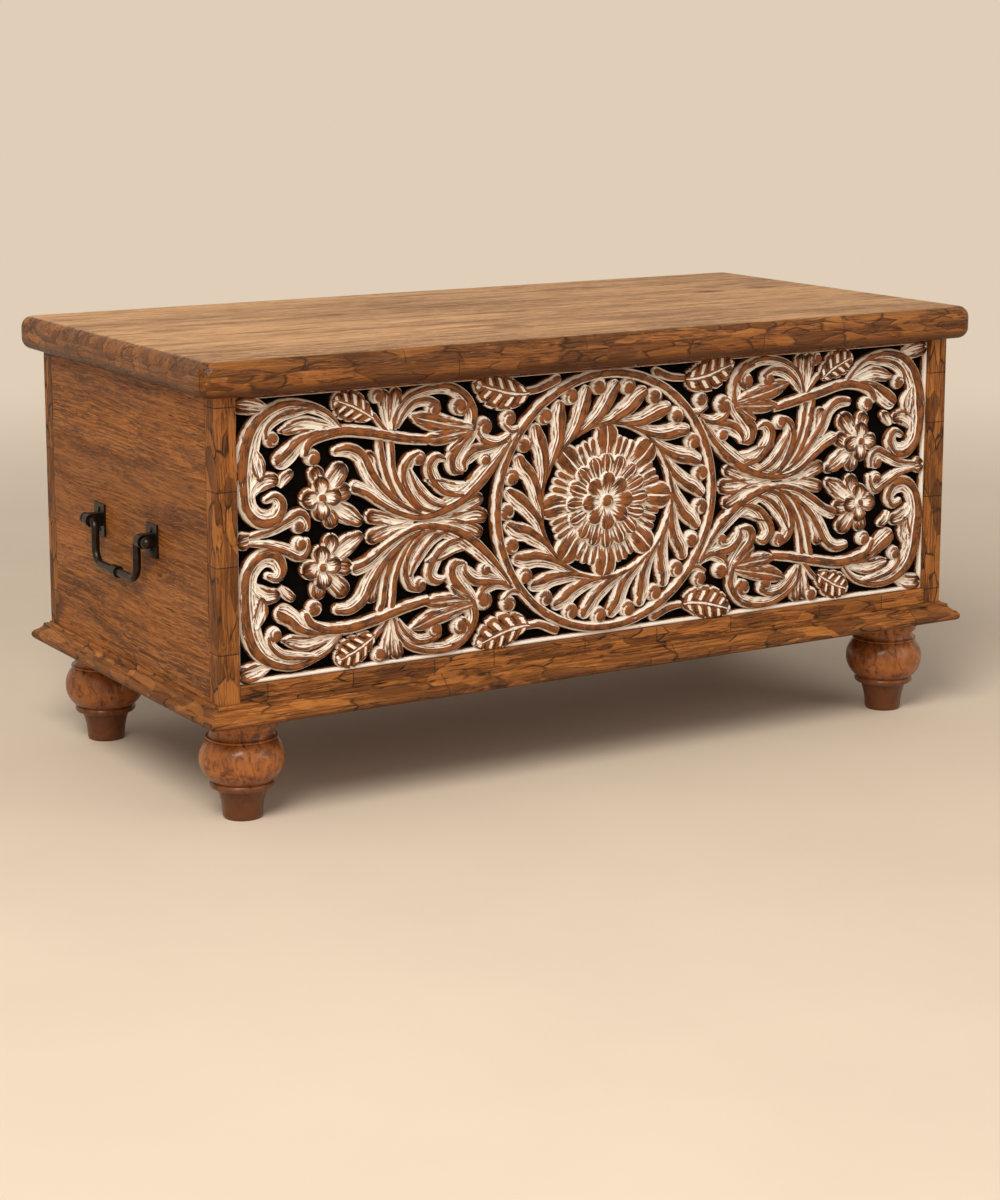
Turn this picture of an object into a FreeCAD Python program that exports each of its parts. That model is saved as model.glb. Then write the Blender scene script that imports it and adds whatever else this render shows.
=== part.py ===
# Carved storage trunk: hinged plank lid, pierced front panel, turned feet and drop handles.
# Millimetres. The origin is on the floor under the middle; +X is the length, the front faces -Y.
import FreeCAD, Part
import math
import os
import re

import Sketcher
from FreeCAD import Placement, Rotation, Vector

# Driving dimensions
SIZES = {
    "body_length": 956,
    "body_depth": 456,
    "carcass_height": 341,
    "post_size": 38,
    "post_face": 24,
    "board_thickness": 16,
    "side_board_bottom": 64,
    "side_board_low": 84,
    "side_board_high": 103,
    "panel_thickness": 14,
    "panel_setback": 1,
    "panel_headroom": 1,
    "backing_thickness": 3,
    "front_rail_height": 39,
    "front_rail_depth": 30,
    "front_rail_lip": 18,
    "top_rail_height": 40,
    "top_rail_thickness": 20,
    "back_rail_depth": 30,
    "floor_thickness": 10,
    "foot_block_height": 30,
    "foot_block_reach": 80,
    "cleat_size": 20,
    "lid_overhang": 22,
    "lid_thickness": 38,
    "lid_gap": 0.4,
    "lid_edge_radius": 13,
    "lid_corner_radius": 16,
    "plank_thickness": 15,
    "rim_width": 46,
    "batten_width": 60,
    "batten_inset": 178,
    "moulding_height": 22,
    "moulding_projection": 18,
    "moulding_bead": 9.5,
    "moulding_bead_bulge": 2.5,
    "moulding_groove": 1,
    "moulding_ledge": 7,
    "moulding_ledge_height": 17,
    "moulding_fillet": 2,
    "moulding_cove": 3.5,
    "moulding_land": 1,
    "moulding_hollow": 1,
    "foot_height": 114,
    "foot_inset": 46,
    "foot_sole_radius": 20,
    "foot_sole_height": 3,
    "foot_ankle_radius": 21.5,
    "foot_taper_radius": 28,
    "foot_taper_height": 31,
    "foot_taper_hollow": 1.6,
    "foot_bead_radius": 33,
    "foot_bead_height": 7,
    "foot_bead_bulge": 1.8,
    "foot_ball_height": 46,
    "foot_ball_bulge": 11,
    "foot_ring_radius": 37.5,
    "foot_ring_height": 2.5,
    "foot_ring_bulge": 0.8,
    "foot_neck_radius": 36,
    "foot_neck_height": 10,
    "foot_neck_hollow": 2,
    "foot_collar_radius": 38,
    "foot_collar_bulge": 1.2,
    "bolt_radius": 4,
    "bolt_depth": 35,
    "bolt_clearance": 0.1,
    "handle_rise": 21,
    "handle_span": 141,
    "plate_width": 27,
    "plate_height": 36,
    "plate_thickness": 2.5,
    "eye_reach": 11,
    "eye_radius": 7.5,
    "eye_width": 11,
    "bail_radius": 4.5,
    "bail_clearance": 0.08,
    "bail_side_play": 1,
    "bail_drop": 45,
    "bail_shoulder": 8,
    "bail_corner": 16,
    "bail_ball_radius": 6.5,
    "bail_collar_radius": 6.5,
    "bail_collar_length": 13,
    "plate_screw_spread": 11.5,
    "plate_screw_length": 13,
    "plate_screw_radius": 1.7,
    "plate_screw_head_radius": 3.4,
    "plate_screw_head_height": 1.5,
    "hinge_inset": 178,
    "hinge_length": 64,
    "hinge_leaf_width": 22,
    "hinge_leaf_thickness": 2,
    "knuckle_radius": 4.5,
    "knuckle_standoff": 0.5,
    "knuckle_play": 0.3,
    "knuckle_room": 0.8,
    "hinge_pin_radius": 2,
    "hinge_pin_clearance": 0.06,
    "hinge_screw_spread": 21,
    "hinge_screw_length": 13,
    "hinge_screw_radius": 1.8,
    "hinge_screw_head_radius": 3.8,
    "screw_clearance": 0.1,
    "carving_border": 3.5,
    "carving_depth": 11,
    "ring_margin": 3,
    "ring_width": 10,
    "ring_rise": 1.5,
    "rosette_tier_rise": 1,
    "carving_chord": 12,
    "smallest_piercing": 20,
}

doc = FreeCAD.newDocument("CarvedTrunk")
sheet = doc.addObject("Spreadsheet::Sheet", "Sizes")
for row, (alias, number) in enumerate(SIZES.items(), start=1):
    sheet.set(f"A{row}", alias)
    sheet.set(f"B{row}", str(number))
    sheet.setAlias(f"B{row}", alias)
doc.recompute()

# Places that several pieces share, written with the sizes above
PLACES = {
    "half_length": "body_length / 2",
    "half_depth": "body_depth / 2",
    "carcass_base": "foot_height",
    "carcass_top": "(foot_height + carcass_height)",
    "panel_edge": "(half_length - post_face)",
    "core_edge": "(half_length - post_size)",
    "side_shoulder": "(half_depth - post_face)",
    "core_face": "(half_depth - post_size)",
    "side_inner": "(half_length - board_thickness)",
    "back_inner": "(half_depth - board_thickness)",
    "seat_depth": "(panel_setback + panel_thickness + backing_thickness)",
    "seat_face": "(half_depth - seat_depth)",
    "front_inner": "(half_depth - front_rail_depth)",
    "panel_base": "(carcass_base + front_rail_height)",
    "panel_top": "(carcass_top - panel_headroom)",
    "floor_base": "(carcass_base + foot_block_height)",
    "block_edge": "(side_inner - foot_block_reach)",
    "foot_x": "(half_length - foot_inset)",
    "foot_y": "(half_depth - foot_inset)",
    "lid_base": "(carcass_top + lid_gap)",
    "plank_base": "(lid_base + lid_thickness - plank_thickness)",
    "lid_top": "(lid_base + lid_thickness)",
    "lid_x": "(half_length + lid_overhang)",
    "lid_y": "(half_depth + lid_overhang)",
    "seam_low": "(carcass_base + side_board_bottom)",
    "seam_middle": "(seam_low + side_board_low)",
    "seam_high": "(seam_middle + side_board_high)",
    "handle_z": "(seam_middle + handle_rise)",
    "handle_x": "(half_length + plate_thickness + eye_reach)",
    "batten_x": "(half_length - batten_inset)",
    "hinge_x": "(half_length - hinge_inset)",
    "hinge_y": "(half_depth + knuckle_radius + knuckle_standoff)",
    "hinge_z": "(carcass_top + lid_gap / 2)",
    "leaf_inner": "(half_depth - hinge_leaf_width)",
}
WORD = re.compile(r"[a-z_]+")


def formula(text):
    """An expression on the sheet, with shared places and aliases written out."""
    def spell(match):
        word = match.group()
        if word in PLACES:
            return f"({formula(PLACES[word])})"
        return f"Sizes.{word}" if word in SIZES else word
    return WORD.sub(spell, str(text))


def value(text):
    """The number that an expression gives now."""
    return float(sheet.evalExpression(formula(text)))


def bind(thing, **links):
    """Tie properties to expressions; two underscores stand for a dot."""
    for name, text in links.items():
        thing.setExpression(name.replace("__", "."), formula(text))
    return thing


def place(thing, x=0, y=0, z=0, turn=None):
    """Put an object at a bound point, turned as asked."""
    if turn:
        thing.Placement = Placement(Vector(0, 0, 0), turn)
    return bind(thing, Placement__Base__x=x, Placement__Base__y=y, Placement__Base__z=z)


X_AXIS, Y_AXIS, Z_AXIS = Vector(1, 0, 0), Vector(0, 1, 0), Vector(0, 0, 1)
ALONG_X = Rotation(Y_AXIS, 90)
ALONG_Y = Rotation(X_AXIS, -90)
SUBPARTS = []


def publish(thing, label):
    """Name a finished sub-part and list it for export."""
    thing.Label = label
    SUBPARTS.append(thing)
    return thing


def block(name, low, high):
    """A box between two bound corners."""
    box = doc.addObject("Part::Box", name)
    spans = [f"({end}) - ({start})" for start, end in zip(low, high)]
    bind(box, Length=spans[0], Width=spans[1], Height=spans[2])
    return place(box, *low)


def rod(name, radius, length, x, y, z, turn=None):
    """A cylinder that starts at a bound point, along Z unless it is turned."""
    return place(bind(doc.addObject("Part::Cylinder", name), Radius=radius, Height=length), x, y, z, turn)


def cone(name, base_radius, tip_radius, length, x, y, z, turn=None):
    """A cone frustum that starts at a bound point, along Z unless it is turned."""
    thing = doc.addObject("Part::Cone", name)
    bind(thing, Radius1=base_radius, Radius2=tip_radius, Height=length)
    return place(thing, x, y, z, turn)


def group(name, things):
    compound = doc.addObject("Part::Compound", name)
    compound.Links = things
    return compound


def fuse(name, things):
    joined = doc.addObject("Part::MultiFuse", name)
    joined.Shapes = things
    joined.Refine = True
    return joined


def cut(name, base, tools):
    less = doc.addObject("Part::Cut", name)
    less.Base = base
    less.Tool = tools[0] if len(tools) == 1 else group(f"{name}_tools", tools)
    return less


def common(name, base, tool):
    shared = doc.addObject("Part::Common", name)
    shared.Base = base
    shared.Tool = tool
    return shared


def plane(body, role):
    return next(item for item in body.Origin.OriginFeatures if item.Role == role)


def trace(body, name, role, corners, bulges=None):
    """A closed sketch through bound corners; a side with a bulge is an arc, positive to the right."""
    sketch = body.newObject("Sketcher::SketchObject", name)
    sketch.AttachmentSupport = [(plane(body, role), "")]
    sketch.MapMode = "FlatFace"
    bulges = bulges or {}
    spots = [Vector(value(x), value(y), 0) for x, y in corners]
    count = len(corners)
    starts, ends = {}, {}
    for side in range(count):
        one, two = spots[side], spots[(side + 1) % count]
        starts[side], ends[side] = 1, 2
        if side in bulges:
            bulge = value(bulges[side])
            right = (two - one).cross(Z_AXIS).normalize()
            arc = Part.Arc(one, (one + two) / 2 + right * bulge, two).toShape().Curve
            if (two - one).cross(right).z * bulge > 0:
                starts[side], ends[side] = 2, 1
            circle = Part.Circle(arc.Center, Z_AXIS, arc.Radius)
            angles = [math.atan2(p.y - arc.Center.y, p.x - arc.Center.x) for p in (one, two)]
            if starts[side] == 2:
                angles.reverse()
            sketch.addGeometry(Part.ArcOfCircle(circle, *angles))
        else:
            sketch.addGeometry(Part.LineSegment(one, two))
    for side in range(count):
        before = (side - 1) % count
        sketch.addConstraint(Sketcher.Constraint("Coincident", before, ends[before], side, starts[side]))
    for number, (x, y) in enumerate(corners):
        for kind, text, now in (("DistanceX", x, spots[number].x), ("DistanceY", y, spots[number].y)):
            index = sketch.addConstraint(Sketcher.Constraint(kind, -1, 1, number, starts[number], now))
            sketch.setExpression(f"Constraints[{index}]", formula(text))
    for side, bulge in bulges.items():
        (x1, y1), (x2, y2) = corners[side], corners[(side + 1) % count]
        rise = f"abs({bulge})"
        radius = f"((({x2}) - ({x1}))^2 + (({y2}) - ({y1}))^2) / (8 * {rise}) + {rise} / 2"
        index = sketch.addConstraint(Sketcher.Constraint("Radius", side, value(radius)))
        sketch.setExpression(f"Constraints[{index}]", formula(radius))
    return sketch


def pad(body, sketch, length):
    feature = body.newObject("PartDesign::Pad", f"{sketch.Name}_pad")
    feature.Profile = sketch
    return bind(feature, Length=length)


# Corner posts, rebated for the carved panel or the back boards, and for the side boards
def corner_post(name, side, end, rebate_face):
    def across(low, high):
        return (low, high) if side > 0 else (f"-({high})", f"-({low})")

    def along(low, high):
        return (low, high) if end > 0 else (f"-({high})", f"-({low})")

    def tall(stem, span_x, span_y):
        low = (span_x[0], span_y[0], "carcass_base")
        high = (span_x[1], span_y[1], "carcass_top")
        return block(f"{name}_{stem}", low, high)

    whole = tall("blank", across("core_edge", "half_length"), along("core_face", "half_depth"))
    face = tall("face_rebate", across("core_edge", "panel_edge"), along(rebate_face, "half_depth"))
    flank = tall("side_rebate", across("side_inner", "half_length"), along("core_face", "side_shoulder"))
    publish(cut(name, whole, [face, flank]), name)


for side_name, side in (("left", -1), ("right", 1)):
    corner_post(f"front_{side_name}_post", side, -1, "seat_face")
    corner_post(f"back_{side_name}_post", side, 1, "back_inner")


# Front rails, carved panel's backing, back rail and back boards
front_strip = block("front_rail_strip", ("-panel_edge", "-half_depth", "carcass_base"),
                    ("panel_edge", "-seat_face", "panel_base"))
front_lip = block("front_rail_lip_strip", ("-core_edge", "-seat_face", "carcass_base"),
                  ("core_edge", "-front_inner", "panel_base + front_rail_lip"))
publish(fuse("front_bottom_rail", [front_strip, front_lip]), "front_bottom_rail")

publish(block("front_top_rail", ("-core_edge", "-seat_face", "carcass_top - top_rail_height"),
              ("core_edge", "top_rail_thickness - seat_face", "carcass_top")), "front_top_rail")

publish(block("front_backing_board", ("-panel_edge", "-seat_face - backing_thickness", "panel_base"),
              ("panel_edge", "-seat_face", "panel_top")), "front_backing_board")

back_rail_base = "carcass_top - top_rail_height"
back_strip = block("back_rail_strip", ("-panel_edge", "back_inner", back_rail_base),
                   ("panel_edge", "half_depth", "carcass_top"))
back_inner_strip = block("back_rail_inner_strip", ("-core_edge", "half_depth - back_rail_depth", back_rail_base),
                         ("core_edge", "back_inner", "carcass_top"))
back_rail_blank = fuse("back_rail_blank", [back_strip, back_inner_strip])

BACK_BOARDS = ("lower", "middle", "upper")
back_board_height = f"(carcass_height - top_rail_height) / {len(BACK_BOARDS)}"
for number, level in enumerate(BACK_BOARDS):
    base = f"carcass_base + {number} * {back_board_height}"
    name = f"back_board_{level}"
    publish(block(name, ("-panel_edge", "back_inner", base),
                  ("panel_edge", "half_depth", f"{base} + {back_board_height}")), name)


# Floor panel, notched round the posts, on two cleats
floor = block("floor_blank", ("-side_inner", "-front_inner", "floor_base"),
              ("side_inner", "back_inner", "floor_base + floor_thickness"))
notches = []
for side in (-1, 1):
    for end in (-1, 1):
        spans = [sorted((f"{side} * core_edge", f"{side} * half_length"), key=value),
                 sorted((f"{end} * core_face", f"{end} * half_depth"), key=value)]
        notches.append(block("floor_notch", (spans[0][0], spans[1][0], "floor_base"),
                             (spans[0][1], spans[1][1], "floor_base + floor_thickness")))
publish(cut("floor_panel", floor, notches), "floor_panel")

cleat_base = "floor_base - cleat_size"
publish(block("front_floor_cleat", ("-block_edge", "-front_inner", cleat_base),
              ("block_edge", "cleat_size - front_inner", "floor_base")), "front_floor_cleat")
publish(block("back_floor_cleat", ("-block_edge", "back_inner - cleat_size", cleat_base),
              ("block_edge", "back_inner", "floor_base")), "back_floor_cleat")


# Base moulding: one profile, four mitred lengths
def moulding_profile(body):
    bead_face = "moulding_projection - moulding_bead_bulge"
    groove = f"{bead_face} - moulding_groove"
    ledge_top = "moulding_ledge_height + moulding_fillet"
    outward = [("0", "0"), (bead_face, "0"), (bead_face, "moulding_bead"),
               (groove, "moulding_bead + moulding_groove"), ("moulding_ledge", "moulding_ledge_height"),
               ("moulding_ledge", ledge_top), ("moulding_cove", ledge_top), ("moulding_land", "moulding_height"),
               ("0", "moulding_height")]
    corners = [(f"-({out})", up) for out, up in outward]
    bulges = {1: "-moulding_bead_bulge", 3: "moulding_hollow", 6: "moulding_hollow"}
    return trace(body, f"{body.Name}_profile", "YZ_Plane", corners, bulges)


def moulding_length(name, body_span, x, y, angle):
    outer = f"({body_span} + 2 * moulding_projection)"
    body = doc.addObject("PartDesign::Body", f"{name}_length")
    sketch = moulding_profile(body)
    bind(sketch, AttachmentOffset__Base__z=f"-{outer} / 2")
    pad(body, sketch, outer)
    mitre = doc.addObject("Part::Wedge", f"{name}_mitre")
    bind(mitre, Ymin="-moulding_projection", Ymax=0, Zmin=0, Z2min=0, Zmax="moulding_height",
         Z2max="moulding_height", Xmin=f"-{outer} / 2", Xmax=f"{outer} / 2",
         X2min=f"-({body_span}) / 2", X2max=f"({body_span}) / 2")
    length = common(name, body, mitre)
    publish(place(length, x, y, "carcass_base", Rotation(Z_AXIS, angle)), name)


moulding_length("front_base_moulding", "body_length", 0, "-half_depth", 0)
moulding_length("right_base_moulding", "body_depth", "half_length", 0, 90)
moulding_length("back_base_moulding", "body_length", 0, "half_depth", 180)
moulding_length("left_base_moulding", "body_depth", "-half_length", 0, -90)


# Turned feet on bolts, each under a corner block
CORNERS = (("front_left", -1, -1), ("front_right", 1, -1), ("back_left", -1, 1), ("back_right", 1, 1))


def turned_foot(name, x, y):
    taper_top = "(foot_sole_height + foot_taper_height)"
    bead_top = f"({taper_top} + foot_bead_height)"
    ball_top = f"({bead_top} + foot_ball_height)"
    ring_top = f"({ball_top} + foot_ring_height)"
    neck_top = f"({ring_top} + foot_neck_height)"
    bore = "bolt_radius + bolt_clearance"
    bore_base = "foot_height - bolt_depth"
    corners = [("0", "0"), ("foot_sole_radius", "0"), ("foot_ankle_radius", "foot_sole_height"),
               ("foot_taper_radius", taper_top), ("foot_bead_radius", taper_top),
               ("foot_bead_radius", bead_top), ("foot_neck_radius", ball_top), ("foot_ring_radius", ball_top),
               ("foot_ring_radius", ring_top), ("foot_neck_radius", ring_top),
               ("foot_neck_radius", neck_top), ("foot_collar_radius", neck_top),
               ("foot_collar_radius", "foot_height"), (bore, "foot_height"), (bore, bore_base), ("0", bore_base)]
    bulges = {2: "-foot_taper_hollow", 4: "foot_bead_bulge", 5: "foot_ball_bulge",
              7: "foot_ring_bulge", 9: "-foot_neck_hollow", 11: "foot_collar_bulge"}
    body = doc.addObject("PartDesign::Body", name)
    sketch = trace(body, f"{name}_profile", "XZ_Plane", corners, bulges)
    turning = body.newObject("PartDesign::Revolution", f"{name}_turning")
    turning.Profile = sketch
    turning.ReferenceAxis = (sketch, ["V_Axis"])
    turning.Angle = 360
    publish(place(body, x, y), name)


blocks, bolts = [], []
for corner, side, end in CORNERS:
    x, y = f"{side} * foot_x", f"{end} * foot_y"
    turned_foot(f"{corner}_foot", x, y)
    wall = "front_inner" if end < 0 else "back_inner"
    span_x = sorted((f"{side} * side_inner", f"{side} * block_edge"), key=value)
    span_y = sorted((f"{end} * {wall}", f"{end} * ({wall} - foot_block_reach)"), key=value)
    raw = block(f"{corner}_block_blank", (span_x[0], span_y[0], "carcass_base"),
                (span_x[1], span_y[1], "floor_base"))
    notch_x = sorted((f"{side} * core_edge", f"{side} * half_length"), key=value)
    notch_y = sorted((f"{end} * core_face", f"{end} * half_depth"), key=value)
    notch = block(f"{corner}_block_notch", (notch_x[0], notch_y[0], "carcass_base"),
                  (notch_x[1], notch_y[1], "floor_base"))
    hole = rod(f"{corner}_block_hole", "bolt_radius + bolt_clearance", "foot_block_height", x, y, "carcass_base")
    blocks.append(cut(f"{corner}_block", raw, [notch, hole]))
    bolts.append(rod(f"{corner}_bolt", "bolt_radius", "bolt_depth + foot_block_height", x, y,
                     "foot_height - bolt_depth"))
publish(group("foot_blocks", blocks), "foot_blocks")
publish(group("foot_bolts", bolts), "foot_bolts")


# Side boards; the one behind the handle plates has pilot holes for their screws
def handle_screw_spots(side):
    for y in ("handle_span / 2", "-handle_span / 2"):
        for z in ("plate_screw_spread", "-plate_screw_spread"):
            yield f"{side} * half_length", y, f"handle_z + ({z})"


SIDE_SEAMS = ("carcass_base", "seam_low", "seam_middle", "seam_high", "carcass_top")
SIDE_BOARDS = ("bottom", "lower", "upper", "top")
for side_name, side in (("left", -1), ("right", 1)):
    inward = Rotation(Y_AXIS, -90 * side)
    span_x = sorted((f"{side} * side_inner", f"{side} * half_length"), key=value)
    for level, low, high in zip(SIDE_BOARDS, SIDE_SEAMS, SIDE_SEAMS[1:]):
        name = f"{side_name}_side_board_{level}"
        board = block(f"{name}_blank", (span_x[0], "-side_shoulder", low), (span_x[1], "side_shoulder", high))
        if low == "seam_middle":
            pilots = [rod(f"{name}_pilot", "plate_screw_radius + screw_clearance", "plate_screw_length",
                          *spot, inward) for spot in handle_screw_spots(side)]
            board = cut(f"{name}_drilled", board, pilots)
        publish(board, name)


# Drop handles: two plates with eyes, four screws and a bail that swings in the eyes
def handle_plate(name, side, y):
    outer = "(half_length + plate_thickness)"
    span_x = sorted((f"{side} * half_length", f"{side} * {outer}"), key=value)
    plate = block(f"{name}_flat", (span_x[0], f"{y} - plate_width / 2", "handle_z - plate_height / 2"),
                  (span_x[1], f"{y} + plate_width / 2", "handle_z + plate_height / 2"))
    web_x = sorted((f"{side} * half_length", f"{side} * handle_x"), key=value)
    web = block(f"{name}_web", (web_x[0], f"{y} - eye_width / 2", "handle_z - eye_radius"),
                (web_x[1], f"{y} + eye_width / 2", "handle_z + eye_radius"))
    eye = rod(f"{name}_eye", "eye_radius", "eye_width", f"{side} * handle_x", f"{y} - eye_width / 2",
              "handle_z", ALONG_Y)
    bore = rod(f"{name}_bore", "bail_radius + bail_clearance", "eye_width", f"{side} * handle_x",
               f"{y} - eye_width / 2", "handle_z", ALONG_Y)
    holes = [rod(f"{name}_hole", "plate_screw_radius + screw_clearance", "plate_thickness", span_x[0], y,
                 f"handle_z + {way} * plate_screw_spread", ALONG_X) for way in (-1, 1)]
    publish(cut(name, fuse(f"{name}_forging", [plate, web, eye]), [bore, *holes]), name)


def handle_screws(name, side):
    outward, inward = Rotation(Y_AXIS, 90 * side), Rotation(Y_AXIS, -90 * side)
    screws = []
    for number, (_, y, z) in enumerate(handle_screw_spots(side)):
        x = f"{side} * (half_length + plate_thickness)"
        head = cone(f"{name}_{number}_head", "plate_screw_head_radius", "plate_screw_radius",
                    "plate_screw_head_height", x, y, z, outward)
        shank = rod(f"{name}_{number}_shank", "plate_screw_radius", "plate_screw_length", x, y, z, inward)
        screws.append(fuse(f"{name}_{number}", [head, shank]))
    publish(group(name, screws), name)


def bend(name, reach, y, z, start):
    """A quarter turn of the bail's rod in its own plane, from a start angle."""
    torus = doc.addObject("Part::Torus", name)
    torus.Angle3 = 90
    bind(torus, Radius1=reach, Radius2="bail_radius")
    return place(torus, 0, y, z, Rotation(X_AXIS, start) * Rotation(Vector(1, 1, 1), 120))


def bail(name, side):
    leg = "(handle_span / 2 - eye_width / 2 - bail_side_play - bail_shoulder)"
    pivot_end = "(handle_span / 2 + eye_width / 2 + bail_side_play + bail_ball_radius)"
    shoulder, corner, drop = f"({leg} + bail_shoulder)", f"({leg} - bail_corner)", "bail_drop"
    pieces = [rod(f"{name}_bar", "bail_radius", f"2 * {corner}", 0, f"-{corner}", f"-{drop}", ALONG_Y),
              rod(f"{name}_collar", "bail_collar_radius", "bail_collar_length", 0, "-bail_collar_length / 2",
                  f"-{drop}", ALONG_Y)]
    for way in (-1, 1):
        pivot_start = shoulder if way > 0 else f"-{pivot_end}"
        pieces.append(rod(f"{name}_pivot", "bail_radius", f"{pivot_end} - {shoulder}", 0, pivot_start, 0, ALONG_Y))
        pieces.append(rod(f"{name}_leg", "bail_radius", f"{drop} - bail_corner - bail_shoulder", 0,
                          f"{way} * {leg}", f"bail_corner - {drop}"))
        pieces.append(bend(f"{name}_shoulder", "bail_shoulder", f"{way} * {shoulder}", "-bail_shoulder",
                           90 if way > 0 else 0))
        pieces.append(bend(f"{name}_corner", "bail_corner", f"{way} * {corner}", f"bail_corner - {drop}",
                           -90 if way > 0 else 180))
        ball = bind(doc.addObject("Part::Sphere", f"{name}_ball"), Radius="bail_ball_radius")
        pieces.append(place(ball, 0, f"{way} * {pivot_end}", 0))
    forged = fuse(name, pieces)
    publish(place(forged, f"{side} * handle_x", 0, "handle_z"), name)


for side_name, side in (("left", -1), ("right", 1)):
    handle_plate(f"{side_name}_handle_plate_front", side, "-handle_span / 2")
    handle_plate(f"{side_name}_handle_plate_back", side, "handle_span / 2")
    handle_screws(f"{side_name}_handle_screws", side)
    bail(f"{side_name}_handle_bail", side)


# Hinges: leaves let into the back rail and the lid rim, knuckles behind, pins and screws
HINGES = (("left", "-hinge_x"), ("right", "hinge_x"))
LEAF_PARTS = (-1, 0, 1)
fixed_leaf_base = "(carcass_top - hinge_leaf_thickness)"
lid_leaf_top = "(lid_base + hinge_leaf_thickness)"


def hinge_screw_spots(x):
    for step in LEAF_PARTS:
        yield f"{x} + {step} * hinge_screw_spread", "(leaf_inner + half_depth) / 2"


def knuckle_span(step, x):
    """Ends of one of the three knuckles, with play beside the middle one."""
    third = "hinge_length / 3"
    start = f"{x} - hinge_length / 2 + {step + 1} * {third}"
    play = "knuckle_play / 2"
    low = f"{start} + {play}" if step > -1 else start
    high = f"{start} + {third} - {play}" if step < 1 else f"{start} + {third}"
    return low, high


def hinge_leaf(name, x, base, top, steps, heads_up):
    low_x, high_x = f"{x} - hinge_length / 2", f"{x} + hinge_length / 2"
    solids = [block(f"{name}_flat", (low_x, "leaf_inner", base), (high_x, "half_depth", top))]
    bores = []
    for step in steps:
        low, high = knuckle_span(step, x)
        solids.append(block(f"{name}_neck", (low, "half_depth", base), (high, "hinge_y", top)))
        solids.append(rod(f"{name}_knuckle", "knuckle_radius", f"({high}) - ({low})", low, "hinge_y",
                          "hinge_z", ALONG_X))
        bores.append(rod(f"{name}_bore", "hinge_pin_radius + hinge_pin_clearance", f"({high}) - ({low})", low,
                         "hinge_y", "hinge_z", ALONG_X))
    small = "hinge_screw_radius + screw_clearance"
    large = "hinge_screw_head_radius + screw_clearance"
    radii = (small, large) if heads_up else (large, small)
    holes = [cone(f"{name}_hole", *radii, "hinge_leaf_thickness", sx, sy, base)
             for sx, sy in hinge_screw_spots(x)]
    publish(cut(name, fuse(f"{name}_blank", solids), [*bores, *holes]), name)


def hinge_screws(name, face, way):
    """Countersunk screws from a leaf's face, pointing down (-1) or up (1)."""
    turn = Rotation(X_AXIS, 0 if way > 0 else 180)
    screws = []
    for _, x in HINGES:
        for sx, sy in hinge_screw_spots(x):
            head = cone(f"{name}_head", "hinge_screw_head_radius", "hinge_screw_radius", "hinge_leaf_thickness",
                        sx, sy, face, turn)
            shank = rod(f"{name}_shank", "hinge_screw_radius", "hinge_screw_length", sx, sy, face, turn)
            screws.append(fuse(f"{name}_screw", [head, shank]))
    publish(group(name, screws), name)


rail_tools, rim_tools = [], []
for side_name, x in HINGES:
    low_x, high_x = f"{x} - hinge_length / 2", f"{x} + hinge_length / 2"
    hinge_leaf(f"{side_name}_hinge_fixed_leaf", x, fixed_leaf_base, "carcass_top", (-1, 1), True)
    hinge_leaf(f"{side_name}_hinge_lid_leaf", x, "lid_base", lid_leaf_top, (0,), False)
    publish(rod(f"{side_name}_hinge_pin", "hinge_pin_radius", "hinge_length", low_x, "hinge_y", "hinge_z", ALONG_X),
            f"{side_name}_hinge_pin")
    rail_tools.append(block("rail_mortise", (low_x, "leaf_inner", fixed_leaf_base),
                            (high_x, "half_depth", "carcass_top")))
    rim_tools.append(block("rim_mortise", (low_x, "leaf_inner", "lid_base"), (high_x, "hinge_y", lid_leaf_top)))
    rim_tools.append(rod("rim_knuckle_room", "knuckle_radius + knuckle_room", "hinge_length + 2 * knuckle_room",
                         f"{low_x} - knuckle_room", "hinge_y", "hinge_z", ALONG_X))
    for sx, sy in hinge_screw_spots(x):
        pilot = "hinge_screw_radius + screw_clearance"
        depth = "hinge_screw_length"
        rail_tools.append(rod("rail_pilot", pilot, depth, sx, sy, f"carcass_top - {depth}"))
        rim_tools.append(rod("rim_pilot", pilot, depth, sx, sy, "lid_base"))
hinge_screws("hinge_fixed_screws", "carcass_top", -1)
hinge_screws("hinge_lid_screws", "lid_base", 1)


def cut_each(name, base, tools):
    """Take tools that overlap one another away in turn."""
    for number, tool in enumerate(tools):
        base = cut(f"{name}_cut_{number}", base, [tool])
    return base


publish(cut_each("back_top_rail", back_rail_blank, rail_tools), "back_top_rail")


# Lid: one rounded outline, divided into planks above and mitred rim strips below
lid_body = doc.addObject("PartDesign::Body", "lid_outline")
lid_plan = trace(lid_body, "lid_plan", "XY_Plane", [("-lid_x", "-lid_y"), ("lid_x", "-lid_y"),
                                                     ("lid_x", "lid_y"), ("-lid_x", "lid_y")])
bind(lid_plan, AttachmentOffset__Base__z="lid_base")
lid_slab = pad(lid_body, lid_plan, "lid_thickness")
doc.recompute()


def round_edges(body, base, name, radius, chosen):
    feature = body.newObject("PartDesign::Fillet", name)
    names = [f"Edge{number + 1}" for number, edge in enumerate(base.Shape.Edges) if chosen(edge.BoundBox)]
    feature.Base = (base, names)
    bind(feature, Radius=radius)
    doc.recompute()
    return feature


FLAT = 0.01
lid_corners = round_edges(lid_body, lid_slab, "lid_corners", "lid_corner_radius", lambda box: box.ZLength > FLAT)
round_edges(lid_body, lid_corners, "lid_edges", "lid_edge_radius", lambda box: box.ZLength < FLAT)

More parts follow.
